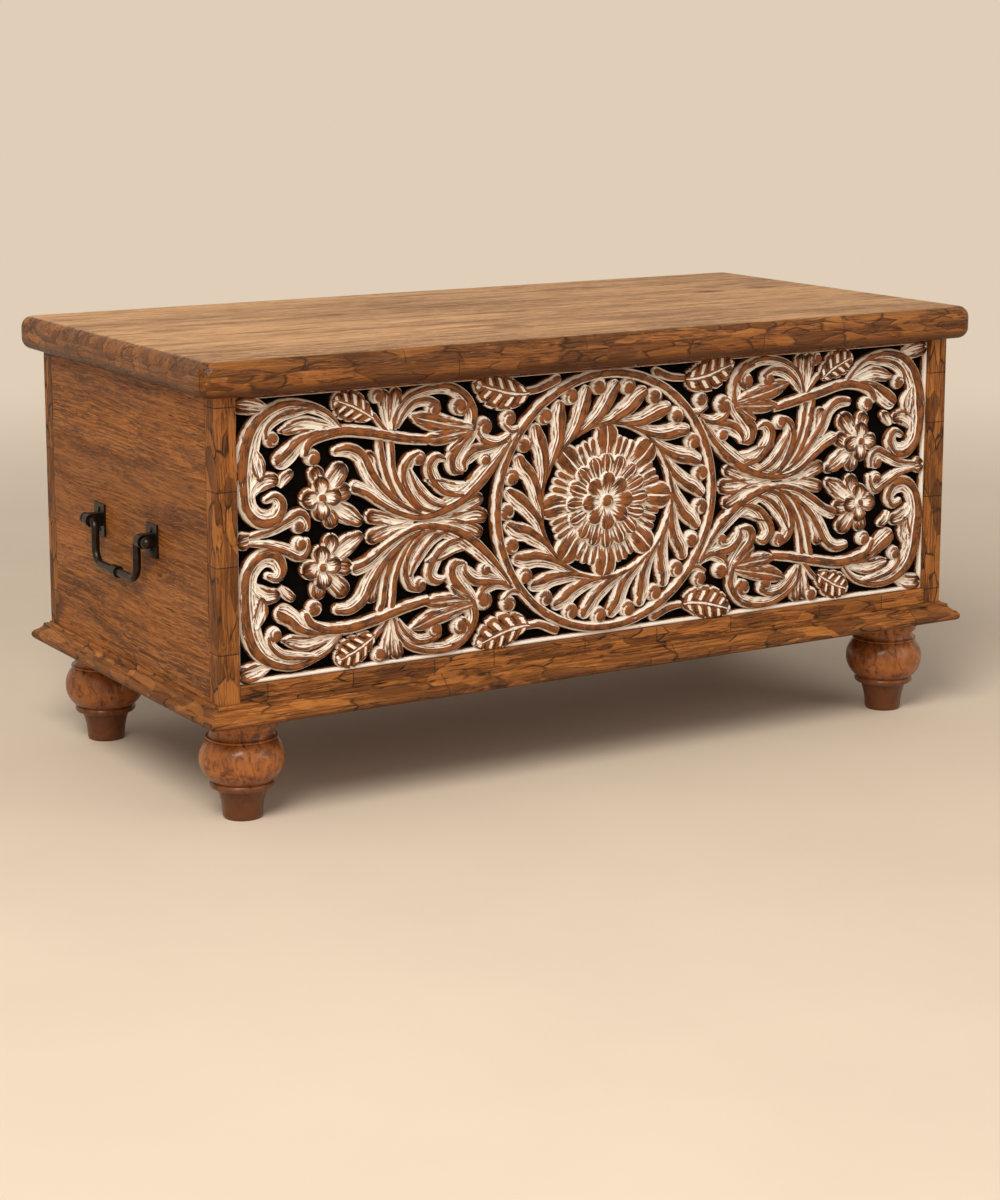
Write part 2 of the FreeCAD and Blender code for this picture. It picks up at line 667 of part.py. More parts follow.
LID_PLANKS = ("front", "middle", "back")
plank_width = f"2 * lid_y / {len(LID_PLANKS)}"
for number, level in enumerate(LID_PLANKS):
    start = f"{number} * {plank_width} - lid_y"
    name = f"lid_plank_{level}"
    strip = block(f"{name}_strip", ("-lid_x", start, "plank_base"), ("lid_x", f"{start} + {plank_width}", "lid_top"))
    publish(common(name, lid_body, strip), name)


def lid_rim(name, half_span, x, y, angle, tools=()):
    wedge = doc.addObject("Part::Wedge", f"{name}_wedge")
    rim_height = "lid_thickness - plank_thickness"
    bind(wedge, Ymin=0, Ymax="rim_width", Zmin=0, Z2min=0, Zmax=rim_height, Z2max=rim_height,
         Xmin=f"-{half_span}", Xmax=half_span, X2min=f"rim_width - {half_span}", X2max=f"{half_span} - rim_width")
    place(wedge, x, y, "lid_base", Rotation(Z_AXIS, angle))
    strip = common(f"{name}_strip", lid_body, wedge)
    publish(cut_each(name, strip, tools), name)


lid_rim("lid_rim_front", "lid_x", 0, "-lid_y", 0)
lid_rim("lid_rim_right", "lid_y", "lid_x", 0, 90)
lid_rim("lid_rim_back", "lid_x", 0, "lid_y", 180, rim_tools)
lid_rim("lid_rim_left", "lid_y", "-lid_x", 0, -90)

for side_name, x in (("left", "-batten_x"), ("right", "batten_x")):
    name = f"lid_batten_{side_name}"
    publish(block(name, (f"{x} - batten_width / 2", "rim_width - lid_y", "lid_base"),
                  (f"{x} + batten_width / 2", "lid_y - rim_width", "plank_base")), name)


# Carved front panel. The ornament is drawn once for the upper right quarter, as strokes with
# points (x, z, width) in millimetres on a panel whose ring has the drawn radius, then fitted.
DRAWN_RING = 150
DRAWN_HALF_LENGTH = 451
QUARTER_STROKES = {
    "main_stem": [(117, 89, 6), (139, 59, 9), (167, 35, 11), (197, 18, 10), (228, 7, 9), (257, 12, 8),
                  (283, 27, 8), (301, 38, 7), (319, 45, 6)],
    "fan_leaf": [(239, 10, 4), (266, 22, 8), (286, 44, 11), (302, 67, 11), (316, 83, 11), (330, 90, 10), (344, 85, 6)],
    "fan_bud": [(279, 34, 4), (287, 52, 6), (293, 66, 8), (296, 79, 15)],
    "fan_stem": [(239, 11, 4), (258, 31, 6), (271, 52, 6), (278, 70, 6), (283, 94, 6)],
    "tall_bud": [(273, 96, 6), (269, 115, 8), (271, 132, 14), (272, 144, 18)],
    "round_bud": [(275, 97, 4), (280, 115, 5), (285, 130, 6), (290, 143, 15)],
    "acanthus_curl": [(213, 8, 4), (240, 19, 7), (255, 38, 10), (255, 56, 10), (248, 71, 9), (235, 74, 10)],
    "acanthus_lobe": [(175, 26, 4), (200, 27, 8), (221, 36, 9), (232, 53, 10), (227, 67, 9), (213, 67, 6)],
    "acanthus_tip": [(157, 41, 4), (182, 34, 10), (207, 38, 10), (230, 45, 5)],
    "drop_leaf": [(171, 118, 7), (176, 97, 12), (191, 79, 16), (201, 64, 14), (197, 49, 11), (185, 50, 5)],
    "ring_leaf_low": [(119, 82, 5), (140, 73, 9), (162, 76, 11), (178, 71, 12), (184, 57, 6)],
    "ring_leaf_high": [(115, 92, 5), (134, 81, 8), (152, 82, 10), (162, 95, 15)],
    "ring_bud": [(101, 102, 6), (114, 100, 8), (128, 102, 17)],
    "ring_curl": [(128, 73, 5), (141, 62, 7), (158, 60, 14)],
    "scroll": [(271, 98, 6), (263, 124, 8), (245, 140, 9), (221, 147, 9), (195, 145, 11), (178, 134, 12),
               (171, 116, 11), (176, 97, 9)],
    "scroll_curl": [(191, 145, 4), (180, 133, 7), (180, 122, 8), (188, 116, 9), (194, 122, 12)],
    "scroll_branch": [(260, 122, 4), (245, 134, 8), (228, 137, 9), (217, 131, 10), (222, 123, 14)],
    "scroll_leaf": [(177, 106, 5), (199, 103, 14), (225, 106, 23), (243, 112, 14), (250, 118, 4)],
    "branch": [(190, 98, 6), (210, 88, 10), (233, 87, 11), (259, 92, 12), (288, 97, 12), (317, 103, 11),
               (340, 104, 10), (356, 98, 10), (362, 84, 17)],
    "branch_leaf": [(333, 106, 4), (356, 103, 8), (376, 94, 12), (392, 82, 15), (406, 84, 11)],
    "corner_stem": [(329, 109, 5), (347, 128, 9), (367, 140, 10), (391, 145, 11), (415, 138, 12), (434, 119, 12),
                    (443, 91, 10), (444, 62, 10), (440, 36, 9), (427, 18, 9), (410, 15, 10), (396, 28, 11),
                    (396, 44, 9), (407, 52, 7), (418, 46, 8)],
    "corner_leaf": [(405, 149, 5), (425, 146, 10), (438, 139, 16)],
    "corner_lobe": [(345, 124, 4), (368, 132, 10), (390, 131, 13), (408, 120, 12), (410, 107, 17)],
    "corner_petal": [(332, 112, 4), (353, 119, 12), (373, 118, 16), (390, 114, 12), (400, 116, 4)],
    "side_leaf_high": [(439, 110, 5), (429, 91, 14), (424, 76, 16), (431, 63, 6)],
    "side_leaf_low": [(443, 49, 5), (429, 55, 13), (415, 64, 15), (403, 72, 5)],
    "side_tip": [(394, 43, 5), (394, 58, 11), (386, 71, 6)],
    "edge_curl": [(441, 5, 6), (417, 9, 9), (397, 19, 12), (381, 27, 13), (371, 18, 11), (375, 10, 14)],
    "top_leaf": [(275, 94, 5), (288, 107, 5), (295, 113, 8), (303, 123, 28), (313, 131, 36), (324, 140, 30),
                 (333, 146, 14)],
    "ring_top_leaf": [(67, 141, 11), (89, 134, 9), (103, 131, 8), (114, 129, 30), (134, 130, 40), (156, 136, 32),
                      (176, 145, 10)],
    "flower_petal_top": [(353, 41, 8), (356, 58, 21), (358, 70, 13)],
    "flower_petal_high": [(350, 41, 8), (337, 55, 25), (325, 68, 14)],
    "flower_petal_side": [(348, 37, 8), (331, 40, 22), (319, 42, 13)],
    "flower_leaf": [(349, 34, 6), (331, 23, 23), (315, 12, 20), (306, 4, 6)],
    "flower_petal_low": [(351, 31, 8), (345, 16, 22), (344, 6, 13)],
}
AXIS_STROKES = {
    "edge_bud": [(410, 0, 6), (431, 0, 11), (440, 0, 22)],
    "bud_to_end": [(225, 0, 12), (257, 0, 10), (279, 0, 18), (297, 0, 33)],
    "bud_to_ring": [(227, 0, 12), (197, 0, 12), (177, 0, 24), (161, 0, 42)],
}
FLOWER_CENTRE = (354, 37)
FLOWER_RADIUS = 24
FLOWER_EYE_RADIUS = 6

# Wreath between the rings: one leaf as (radius, angle behind its tip ball, width), and the rosette
WREATH_LEAVES = 21
WREATH_LEAF = [(87, 35, 4), (92, 23, 5), (96, 11, 8), (104, 1, 11), (116, -5, 13), (127, -9, 12)]
WREATH_BALL_PLACE = 131
WREATH_BALL_RADIUS = 12
INNER_RING_RADIUS = 90
INNER_RING_WIDTH = 6
# Rosette tiers as (petals, petal centre radius, petal radius), largest first, and the centre button
ROSETTE_TIERS = [(8, 72, 14.5), (16, 44, 10.5), (8, 22, 9.5)]
ROSETTE_HEART = 0.92
BUTTON_RADIUS = 10
BALL_SIDES = 12
PETAL_SIDES = 16
TIP_ROUNDING = 0.4


def facing(face):
    """The face with its normal to the front."""
    if face.normalAt(0, 0).y > 0:
        face.reverse()
    return face


def polygon(corners):
    return facing(Part.Face(Part.makePolygon([*corners, corners[0]])))


def rectangle(half_x, half_z):
    return polygon([Vector(x * half_x, 0, z * half_z) for x, z in ((-1, -1), (1, -1), (1, 1), (-1, 1))])


def disc(radius):
    return facing(Part.Face(Part.Wire(Part.makeCircle(radius, Vector(0, 0, 0), Y_AXIS))))


def spot(x, z, radius, sides):
    turns = [2 * math.pi * number / sides for number in range(sides)]
    return polygon([Vector(x + radius * math.cos(turn), 0, z + radius * math.sin(turn)) for turn in turns])


def polar(radius, degrees):
    return radius * math.cos(math.radians(degrees)), radius * math.sin(math.radians(degrees))


def smooth_line(points, chord):
    """Points of a curve through all the given ones, about one chord apart."""
    padded = [points[0], *points, points[-1]]
    line = []
    for first, here, there, last in zip(padded, padded[1:], padded[2:], padded[3:]):
        steps = max(1, round(math.dist(here[:2], there[:2]) / chord))
        for step in range(steps):
            t = step / steps
            line.append([0.5 * (2 * b + (c - a) * t + (2 * a - 5 * b + 4 * c - d) * t**2
                                + (3 * b - a - 3 * c + d) * t**3)
                         for a, b, c, d in zip(first, here, there, last)])
    line.append(list(points[-1]))
    return line


def stroke(points):
    """The face of a stroke of varying width with a rounded tip."""
    line = smooth_line(points, value("carving_chord"))
    left, right = [], []
    for number, (x, z, width) in enumerate(line):
        back = line[max(number - 1, 0)]
        ahead = line[min(number + 1, len(line) - 1)]
        run = Vector(ahead[0] - back[0], 0, ahead[1] - back[1]).normalize()
        aside = Vector(-run.z, 0, run.x) * (width / 2)
        left.append(Vector(x, 0, z) + aside)
        right.append(Vector(x, 0, z) - aside)
    tip = (left[-1] + right[-1]) / 2 + run * (TIP_ROUNDING * line[-1][2])
    return polygon([*left, tip, *reversed(right)])


def carved_panel():
    half_x, half_z = value("panel_edge"), value("(panel_top - panel_base) / 2")
    ring = half_z - value("ring_margin")
    scale = ring / DRAWN_RING
    stretch = (half_x - ring) / (DRAWN_HALF_LENGTH - DRAWN_RING)

    def fitted(x, z):
        """A drawn place on the panel: the ring keeps round, the fields at its sides stretch."""
        across = x * scale if x < DRAWN_RING else ring + (x - DRAWN_RING) * stretch
        return across, z * scale

    def fitted_stroke(points, side, end):
        placed = [(*fitted(x, z), width * scale) for x, z, width in points]
        return stroke([(side * x, end * z, width) for x, z, width in placed])

    flower_x, flower_z = fitted(*FLOWER_CENTRE)
    flowers = [(side * flower_x, end * flower_z) for side in (-1, 1) for end in (-1, 1)]
    border = value("carving_border")
    faces = rectangle(half_x, half_z).cut(rectangle(half_x - border, half_z - border)).Faces
    for side in (-1, 1):
        faces += [fitted_stroke(points, side, 1) for points in AXIS_STROKES.values()]
        for end in (-1, 1):
            faces += [fitted_stroke(points, side, end) for points in QUARTER_STROKES.values()]
    faces += [spot(x, z, FLOWER_RADIUS * scale, PETAL_SIDES) for x, z in flowers]

    ring_band = disc(ring).cut(disc(ring - value("ring_width")))
    inner = INNER_RING_RADIUS * scale
    faces += ring_band.Faces + disc(inner).cut(disc(inner - INNER_RING_WIDTH * scale)).Faces
    for leaf in range(WREATH_LEAVES):
        turn = 90 + 360 / WREATH_LEAVES * leaf
        faces.append(stroke([(*polar(radius * scale, turn + behind), width * scale)
                             for radius, behind, width in WREATH_LEAF]))
        faces.append(spot(*polar(WREATH_BALL_PLACE * scale, turn), WREATH_BALL_RADIUS * scale, BALL_SIDES))

    tiers = []
    for petals, reach, radius in ROSETTE_TIERS:
        turns = [90 + 360 / petals * petal for petal in range(petals)]
        tier = [spot(*polar(reach * scale, turn), radius * scale, PETAL_SIDES) for turn in turns]
        tier.append(disc(reach * ROSETTE_HEART * scale))
        tiers.append(tier[0].multiFuse(tier[1:]).removeSplitter())
    faces += tiers[0].Faces

    depth = value("carving_depth")
    forward = Vector(0, -1, 0)
    whole = faces[0].multiFuse(faces[1:]).removeSplitter().Faces[0]
    piercings = [wire for wire in whole.Wires
                 if not wire.isSame(whole.OuterWire) and Part.Face(wire).Area > value("smallest_piercing")]
    pierced = facing(Part.Face([whole.OuterWire, *piercings])).extrude(forward * depth)

    def raised(face, rise):
        lift = face.Faces[0].copy()
        lift.translate(forward * depth)
        return lift.extrude(forward * rise)

    rise = value("rosette_tier_rise")
    layers = [raised(ring_band, value("ring_rise"))]
    layers += [raised(tier, rise * level) for level, tier in enumerate(tiers[1:], start=1)]
    layers.append(raised(disc(BUTTON_RADIUS * scale), rise * len(tiers)))
    for x, z in flowers:
        eye = disc(FLOWER_EYE_RADIUS * scale)
        eye.translate(Vector(x, 0, z))
        layers.append(raised(eye, rise))
    panel = doc.addObject("Part::Feature", "carved_front_panel")
    panel.Shape = pierced.multiFuse(layers).removeSplitter().Solids[0]
    publish(panel, "carved_front_panel")
    place(panel, 0, "-seat_face - backing_thickness", "(panel_base + panel_top) / 2")


carved_panel()
doc.recompute()

# Check every object, then write one file for each sub-part
for thing in doc.Objects:
    if {"Invalid", "Error"} & set(thing.State):
        raise RuntimeError(f"{thing.Label} failed: {thing.State}")
os.makedirs("parts", exist_ok=True)
for thing in SUBPARTS:
    if thing.Shape.isNull() or not thing.Shape.isValid():
        raise RuntimeError(f"{thing.Label} has no valid shape")
    thing.Shape.exportStep(f"parts/{thing.Label}.step")
    print(f"{thing.Label}: {len(thing.Shape.Solids)} solid(s), {thing.Shape.Volume:.0f} cubic millimetres")
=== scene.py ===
"""Carved storage trunk: finishes for its boards and iron, its whitewashed carving, and a plain stage."""

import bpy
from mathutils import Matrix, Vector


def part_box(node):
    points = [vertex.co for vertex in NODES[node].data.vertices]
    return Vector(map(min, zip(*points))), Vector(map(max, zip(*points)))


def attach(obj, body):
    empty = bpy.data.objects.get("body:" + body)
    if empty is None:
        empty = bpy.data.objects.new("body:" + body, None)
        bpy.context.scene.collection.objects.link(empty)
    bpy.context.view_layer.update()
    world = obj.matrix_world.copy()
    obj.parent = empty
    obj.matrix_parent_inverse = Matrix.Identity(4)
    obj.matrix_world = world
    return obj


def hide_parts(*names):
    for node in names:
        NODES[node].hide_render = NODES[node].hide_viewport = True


bl_info = {
    "name": "Carved storage trunk",
    "version": (1, 0, 0),
    "blender": (4, 5, 0),
    "location": "3D View > Sidebar > Trunk",
    "description": "Dresses a packed trunk with wood, iron and a whitewashed carved front",
    "category": "Object",
}

import math
import random
from collections import namedtuple

import bmesh
import bpy
from bpy.props import FloatProperty, FloatVectorProperty, PointerProperty
from mathutils import Vector, noise

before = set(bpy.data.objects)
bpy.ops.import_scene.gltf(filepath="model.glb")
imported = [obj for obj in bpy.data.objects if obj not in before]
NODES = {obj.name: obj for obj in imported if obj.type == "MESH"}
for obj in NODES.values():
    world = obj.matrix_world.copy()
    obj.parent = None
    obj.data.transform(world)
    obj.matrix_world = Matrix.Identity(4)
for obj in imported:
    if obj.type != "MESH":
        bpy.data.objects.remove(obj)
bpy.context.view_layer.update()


def tone(red, green, blue):
    """Linear colour from display values of 0 to 255."""
    shares = [channel / 255 for channel in (red, green, blue)]
    return tuple(share / 12.92 if share <= 0.04045 else ((share + 0.055) / 1.055) ** 2.4 for share in shares)


def colour(name, description, display):
    return FloatVectorProperty(name=name, description=description, subtype="COLOR", size=3, min=0, max=1,
                               default=tone(*display))


# Sizes and colours that a user would change
class TrunkWoodSettings(bpy.types.PropertyGroup):
    """Tones of the boards, the lid and the feet."""
    # Board light and board dark are also used for painted light on the strips' upward faces and painted shade
    # on their downward faces and the lid edge's lower part
    board_light: colour("Board light", "Light fibres of the boards and posts", (186, 117, 54))
    board_middle: colour("Board middle", "Main tone of the boards and posts", (143, 84, 35))
    board_dark: colour("Board dark", "Dark streaks of the boards and posts", (72, 38, 13))
    # The lid's pale tones are its worn top together with painted sheen
    lid_light: colour("Lid light", "Light streaks on the worn top of the lid", (226, 178, 128))
    lid_middle: colour("Lid middle", "Main tone on the worn top of the lid", (202, 151, 103))
    lid_dark: colour("Lid dark", "Dark streaks on the worn top of the lid", (112, 73, 43))
    foot_light: colour("Foot light", "Light figure of the turned feet", (170, 100, 46))
    # Foot dark is also used for painted shade on the lowest part of the feet
    foot_dark: colour("Foot dark", "Dark figure of the turned feet", (84, 42, 16))
    crack: colour("Cracks", "Open grain and cracks", (38, 19, 8))
    edge_wear: FloatProperty(name="Edge rounding", description="Rounding of the boards' worn edges",
                             default=0.0012, min=0.0002, max=0.004, unit="LENGTH")


class TrunkCarvingSettings(bpy.types.PropertyGroup):
    """Relief and finish of the carved front."""
    brown: colour("Rubbed wood", "Wood on the crests, where the whitewash is rubbed off", (138, 80, 36))
    brown_dark: colour("Dark wood", "Dark grain on the crests", (78, 42, 15))
    # groove_shade is painted shade: dark in the carved creases, the leaves' notches and the feet of the
    # walls, where the whitewash goes below zero
    groove_shade: colour("Grooves", "Dark lines cut beside the crests", (52, 27, 11))
    wash: colour("Whitewash", "Whitewash left in the hollows", (240, 229, 215))
    # The backing's near-black tone is the blackened board and also painted shade in the piercings
    backing: colour("Backing", "Board behind the piercings", (7, 5, 4))
    relief: FloatProperty(name="Relief", default=1.0, min=0.2, max=1.6,
                          description="Height of the carving's crests over its hollows, as a factor")
    sample: FloatProperty(name="Fineness", description="Distance between the carving's cross-sections",
                          default=0.003, min=0.002, max=0.012, unit="LENGTH")


class TrunkStageSettings(bpy.types.PropertyGroup):
    """Iron, floor and light."""
    iron: colour("Iron", "Blackened iron of the handles", (52, 43, 37))
    steel: colour("Hinge steel", "Dull steel of the hinges", (150, 146, 140))
    floor: colour("Floor", "Plain pale floor", (224, 206, 184))
    key_power: FloatProperty(name="Key lamp", description="Power of the large soft lamp",
                             default=124, min=0, unit="POWER")
    fill_power: FloatProperty(name="Fill lamp", description="Power of the lamp at the front",
                              default=24, min=0, unit="POWER")
    sky: FloatProperty(name="Sky", description="Strength of the even light from all round",
                       default=0.4, min=0)


# Materials: a small writer of node trees
BOARD_SHIFT = (3.1, 4.7, 5.3)
SEAM_WIDTH = 0.0007


class Finish:
    """A node material, written from its shader back to its patterns."""

    def __init__(self, name, **plain):
        self.material = bpy.data.materials.new(name)
        self.material.use_nodes = True
        self.tree = self.material.node_tree
        self.tree.nodes.clear()
        self.shader = self.add("ShaderNodeBsdfPrincipled")
        for socket, amount in plain.items():
            self.shader.inputs[socket.replace("_", " ")].default_value = amount
        self.output = self.add("ShaderNodeOutputMaterial")
        self.join(self.shader.outputs["BSDF"], self.output.inputs["Surface"])

    def add(self, kind, inputs=None, **settings):
        node = self.tree.nodes.new(kind)
        for name, setting in settings.items():
            setattr(node, name, setting)
        for name, given in (inputs or {}).items():
            self.join(given, node.inputs[name])
        return node

    def join(self, given, socket):
        """Links a socket to a node, or sets its own value."""
        if isinstance(given, bpy.types.NodeSocket):
            self.tree.links.new(given, socket)
        elif socket.type == "RGBA":
            socket.default_value = (*given, 1)
        else:
            socket.default_value = given

    def shift(self, operation, vector, by):
        """The vector with another one added or taken off, or scaled."""
        other = "Scale" if operation == "SCALE" else 1
        return self.add("ShaderNodeVectorMath", {0: vector, other: by}, operation=operation).outputs[0]

    def place(self):
        """Coordinates in the trunk's frame, moved by a board's own amount."""
        spot = self.add("ShaderNodeTexCoord").outputs["Object"]
        luck = self.add("ShaderNodeObjectInfo").outputs["Random"]
        return self.shift("ADD", spot, self.shift("SCALE", BOARD_SHIFT, luck))

    def upward(self):
        """How far a face looks up: 1 on top, -1 below."""
        return self.part(self.add("ShaderNodeTexCoord").outputs["Normal"], "Z")

    def stretch(self, vector, scale):
        return self.add("ShaderNodeMapping", {"Vector": vector, "Scale": scale}).outputs[0]

    def part(self, vector, axis):
        return self.add("ShaderNodeSeparateXYZ", {0: vector}).outputs[axis]

    def cloud(self, vector, scale, detail=4.0, roughness=0.55, distortion=0.0):
        """Soft noise from 0 to 1."""
        inputs = {"Vector": vector, "Scale": scale, "Detail": detail, "Roughness": roughness,
                  "Distortion": distortion}
        return self.add("ShaderNodeTexNoise", inputs).outputs[0]

    def bend(self, vector, scale, amount):
        """The vector, pushed about by a soft noise."""
        push = self.add("ShaderNodeTexNoise", {"Vector": vector, "Scale": scale, "Detail": 2.0}).outputs[1]
        middle = self.shift("SUBTRACT", push, (0.5, 0.5, 0.5))
        return self.shift("ADD", vector, self.shift("SCALE", middle, amount))

    def cells(self, vector, scale, feature="F1"):
        """Distance in a pattern of random cells."""
        node = self.add("ShaderNodeTexVoronoi", {"Vector": vector, "Scale": scale}, feature=feature)
        return node.outputs["Distance"]

    def lengths(self, vector, axis, length):
        """Random lengths along one axis: a number for each, and the seams between them."""
        run = self.part(vector, axis)
        inputs = {"W": run, "Scale": 1 / length}
        blocks = self.add("ShaderNodeTexVoronoi", inputs, voronoi_dimensions="1D").outputs["Color"]
        seams = self.add("ShaderNodeTexVoronoi", inputs, voronoi_dimensions="1D", feature="DISTANCE_TO_EDGE")
        fine = SEAM_WIDTH / length
        return self.part(blocks, "X"), self.span(seams.outputs["Distance"], 0.3 * fine, fine, 1.0, 0.0)

    def span(self, amount, low, high, to_low=0.0, to_high=1.0):
        """A soft step from one value at the low end to another at the high end."""
        inputs = {0: amount, 1: low, 2: high, 3: to_low, 4: to_high}
        return self.add("ShaderNodeMapRange", inputs, interpolation_type="SMOOTHSTEP").outputs[0]

    def reckon(self, operation, one, two):
        return self.add("ShaderNodeMath", {0: one, 1: two}, operation=operation).outputs[0]

    def plus(self, one, two):
        return self.reckon("ADD", one, two)

    def less(self, one, two):
        return self.reckon("SUBTRACT", one, two)

    def times(self, one, two):
        return self.reckon("MULTIPLY", one, two)

    def most(self, one, two):
        return self.reckon("MAXIMUM", one, two)

    def mix(self, share, one, two):
        """The first colour, covered by the second to a share."""
        return self.add("ShaderNodeMix", {0: share, 6: one, 7: two}, data_type="RGBA").outputs[2]

    def bump(self, height, strength, distance):
        node = self.add("ShaderNodeBump", {"Strength": strength, "Distance": distance, "Height": height})
        self.join(node.outputs[0], self.shader.inputs["Normal"])

    def paint(self, base, roughness):
        self.join(base, self.shader.inputs["Base Color"])
        self.join(roughness, self.shader.inputs["Roughness"])
        return self.material


# Finishes of the wood, the iron and the carving
FLAKES = 85.0
WAXED = 0.2
RUST = tone(84, 60, 44)


def along(axis, share):
    """A scale that draws a pattern out along the grain."""
    return tuple(share if letter == axis else 1.0 for letter in "XYZ")


def wood_pattern(finish, spot, axis, tones, crack):
    """Patches, streaks, fibres, knots and open pores along one axis: colour, height and streaks."""
    light, middle, dark = tones
    sway = finish.bend(finish.bend(spot, 4.0, 0.02), 22.0, 0.0018)
    curl = finish.bend(finish.bend(spot, 5.0, 0.04), 30.0, 0.006)
    patch = finish.cloud(finish.stretch(sway, along(axis, 0.2)), 11.0, 3.0)
    streak = finish.cloud(finish.stretch(sway, along(axis, 0.03)), 60.0, 4.0, 0.6)
    line = finish.cloud(finish.stretch(sway, along(axis, 0.02)), 520.0, 3.0, 0.6)
    dash = finish.cloud(finish.stretch(sway, along(axis, 0.04)), 800.0, 2.0, 0.5)
    figure = finish.cloud(finish.stretch(curl, along(axis, 0.12)), 48.0, 5.0, 0.62, 0.3)
    fleck = finish.cloud(finish.stretch(curl, along(axis, 0.08)), 700.0, 2.0, 0.5)
    knot = finish.cells(finish.stretch(sway, along(axis, 0.6)), 7.0)
    shade = finish.mix(finish.span(patch, 0.36, 0.6, 0.7, 0.0), middle, dark)
    # Layers over it: pattern, where it starts and is full, its share and its colour
    layers = [(streak, 0.46, 0.64, 0.45, dark), (line, 0.44, 0.6, 0.6, light), (dash, 0.54, 0.65, 0.6, dark),
              (figure, 0.48, 0.68, 0.7, dark), (fleck, 0.55, 0.66, 0.5, light)]
    for pattern, start, full, share, stain in layers:
        shade = finish.mix(finish.span(pattern, start, full, 0.0, share), shade, stain)
    shade = finish.mix(finish.span(knot, 0.05, 0.14, 0.7, 0.0), shade, dark)
    pores = finish.most(finish.span(dash, 0.65, 0.71), finish.span(knot, 0.022, 0.045, 1.0, 0.0))
    shade = finish.mix(finish.times(pores, 0.8), shade, crack)
    fibres = finish.plus(finish.times(line, 0.7), finish.times(dash, -0.9))
    return shade, finish.less(fibres, pores), streak


def flaked(finish, shade, spot, axis):
    """The shade with light and dark flakes, and the cracks between them in places."""
    wood = bpy.context.scene.trunk_wood
    torn = finish.bend(finish.bend(finish.stretch(spot, along(axis, 0.28)), 26.0, 0.02), 90.0, 0.006)
    inputs = {"Vector": torn, "Scale": FLAKES}
    flake = finish.part(finish.add("ShaderNodeTexVoronoi", inputs).outputs["Color"], "X")
    line = finish.span(finish.cells(torn, FLAKES, "DISTANCE_TO_EDGE"), 0.01, 0.08, 1.0, 0.0)
    where = finish.span(finish.cloud(spot, 30.0, 3.0), 0.44, 0.6)
    shade = finish.mix(finish.span(flake, 0.45, 1.0, 0.0, 0.65), shade, wood.board_dark)
    shade = finish.mix(finish.span(flake, 0.0, 0.35, 0.5, 0.0), shade, wood.board_light)
    return shade, finish.times(line, where)


def board_tones():
    wood = bpy.context.scene.trunk_wood
    return wood.board_light, wood.board_middle, wood.board_dark


def board_wood(name, axis):
    """Waxed boards with the grain along one axis."""
    wood = bpy.context.scene.trunk_wood
    finish = Finish(name, Specular_IOR_Level=WAXED)
    shade, height, streak = wood_pattern(finish, finish.place(), axis, board_tones(), wood.crack)
    luck = finish.add("ShaderNodeObjectInfo").outputs["Random"]
    shade = finish.mix(finish.span(luck, 0.3, 1.0, 0.0, 0.3), shade, wood.board_dark)
    finish.bump(height, 0.4, 0.0012)
    return finish.paint(shade, finish.span(streak, 0.3, 0.7, 0.42, 0.56))


def pieced_wood(name, axis, length):
    """Strips pieced together from short lengths, with flakes and cracks, painted shade on faces that look
    down and painted light on faces that look up.
    """
    wood = bpy.context.scene.trunk_wood
    finish = Finish(name, Specular_IOR_Level=WAXED)
    spot = finish.place()
    shade, height, streak = wood_pattern(finish, spot, axis, board_tones(), wood.crack)
    block, seam = finish.lengths(spot, axis, length)
    shade, cracks = flaked(finish, shade, spot, axis)
    shade = finish.mix(finish.span(block, 0.4, 1.0, 0.0, 0.35), shade, wood.board_dark)
    shade = finish.mix(finish.times(finish.most(cracks, seam), 0.9), shade, wood.crack)
    upward = finish.upward()
    # Painted shade: faces that look down are darkened towards the dark board tone
    shade = finish.mix(finish.span(upward, -0.8, -0.1, 0.7, 0.0), shade, wood.board_dark)
    # Painted light: faces that look up are lightened a little towards the light board tone
    shade = finish.mix(finish.span(upward, 0.2, 0.8, 0.0, 0.1), shade, wood.board_light)
    cuts = finish.times(finish.plus(cracks, seam), 1.2)
    finish.bump(finish.less(height, cuts), 0.5, 0.0014)
    return finish.paint(shade, finish.span(streak, 0.3, 0.7, 0.4, 0.54))


def lid_wood(name, axis, length=0.4):
    """Lid: a pale top, its worn tone together with painted sheen; dark, flaked wood over the rounded edge,
    darkened further by painted shade where it looks down; plain boards below.
    """
    wood = bpy.context.scene.trunk_wood
    finish = Finish(name, Specular_IOR_Level=WAXED)
    spot = finish.place()
    lid_tones = (wood.lid_light, wood.lid_middle, wood.lid_dark)
    top, top_height, streak = wood_pattern(finish, spot, "X", lid_tones, wood.crack)
    plain, plain_height, _ = wood_pattern(finish, spot, axis, board_tones(), wood.crack)
    block, seam = finish.lengths(spot, axis, length)
    edge, cracks = flaked(finish, plain, spot, axis)
    cracks = finish.most(cracks, seam)
    edge = finish.mix(finish.span(block, 0.2, 1.0, 0.05, 0.4), edge, wood.board_dark)
    edge = finish.mix(finish.times(cracks, 0.75), edge, wood.crack)
    upward = finish.upward()
    # Painted shade: the edge darkens towards the dark board tone where it looks down
    edge = finish.mix(finish.span(upward, -0.9, 0.4, 0.9, 0.0), edge, wood.board_dark)
    # Faces that look up take the pale top tones: the worn top together with painted sheen
    worn = finish.span(upward, 0.9, 0.998)
    below = finish.span(upward, -0.998, -0.9, 1.0, 0.0)
    level = finish.plus(worn, below)
    shade = finish.mix(below, finish.mix(worn, edge, top), plain)
    cut = finish.times(cracks, finish.span(level, 0.0, 0.6, 1.6, 0.0))
    finish.bump(finish.less(finish.most(top_height, plain_height), cut), 0.45, 0.0014)
    dull = finish.plus(finish.span(streak, 0.3, 0.7, 0.26, 0.36), finish.times(level, 0.22))
    return finish.paint(shade, dull)


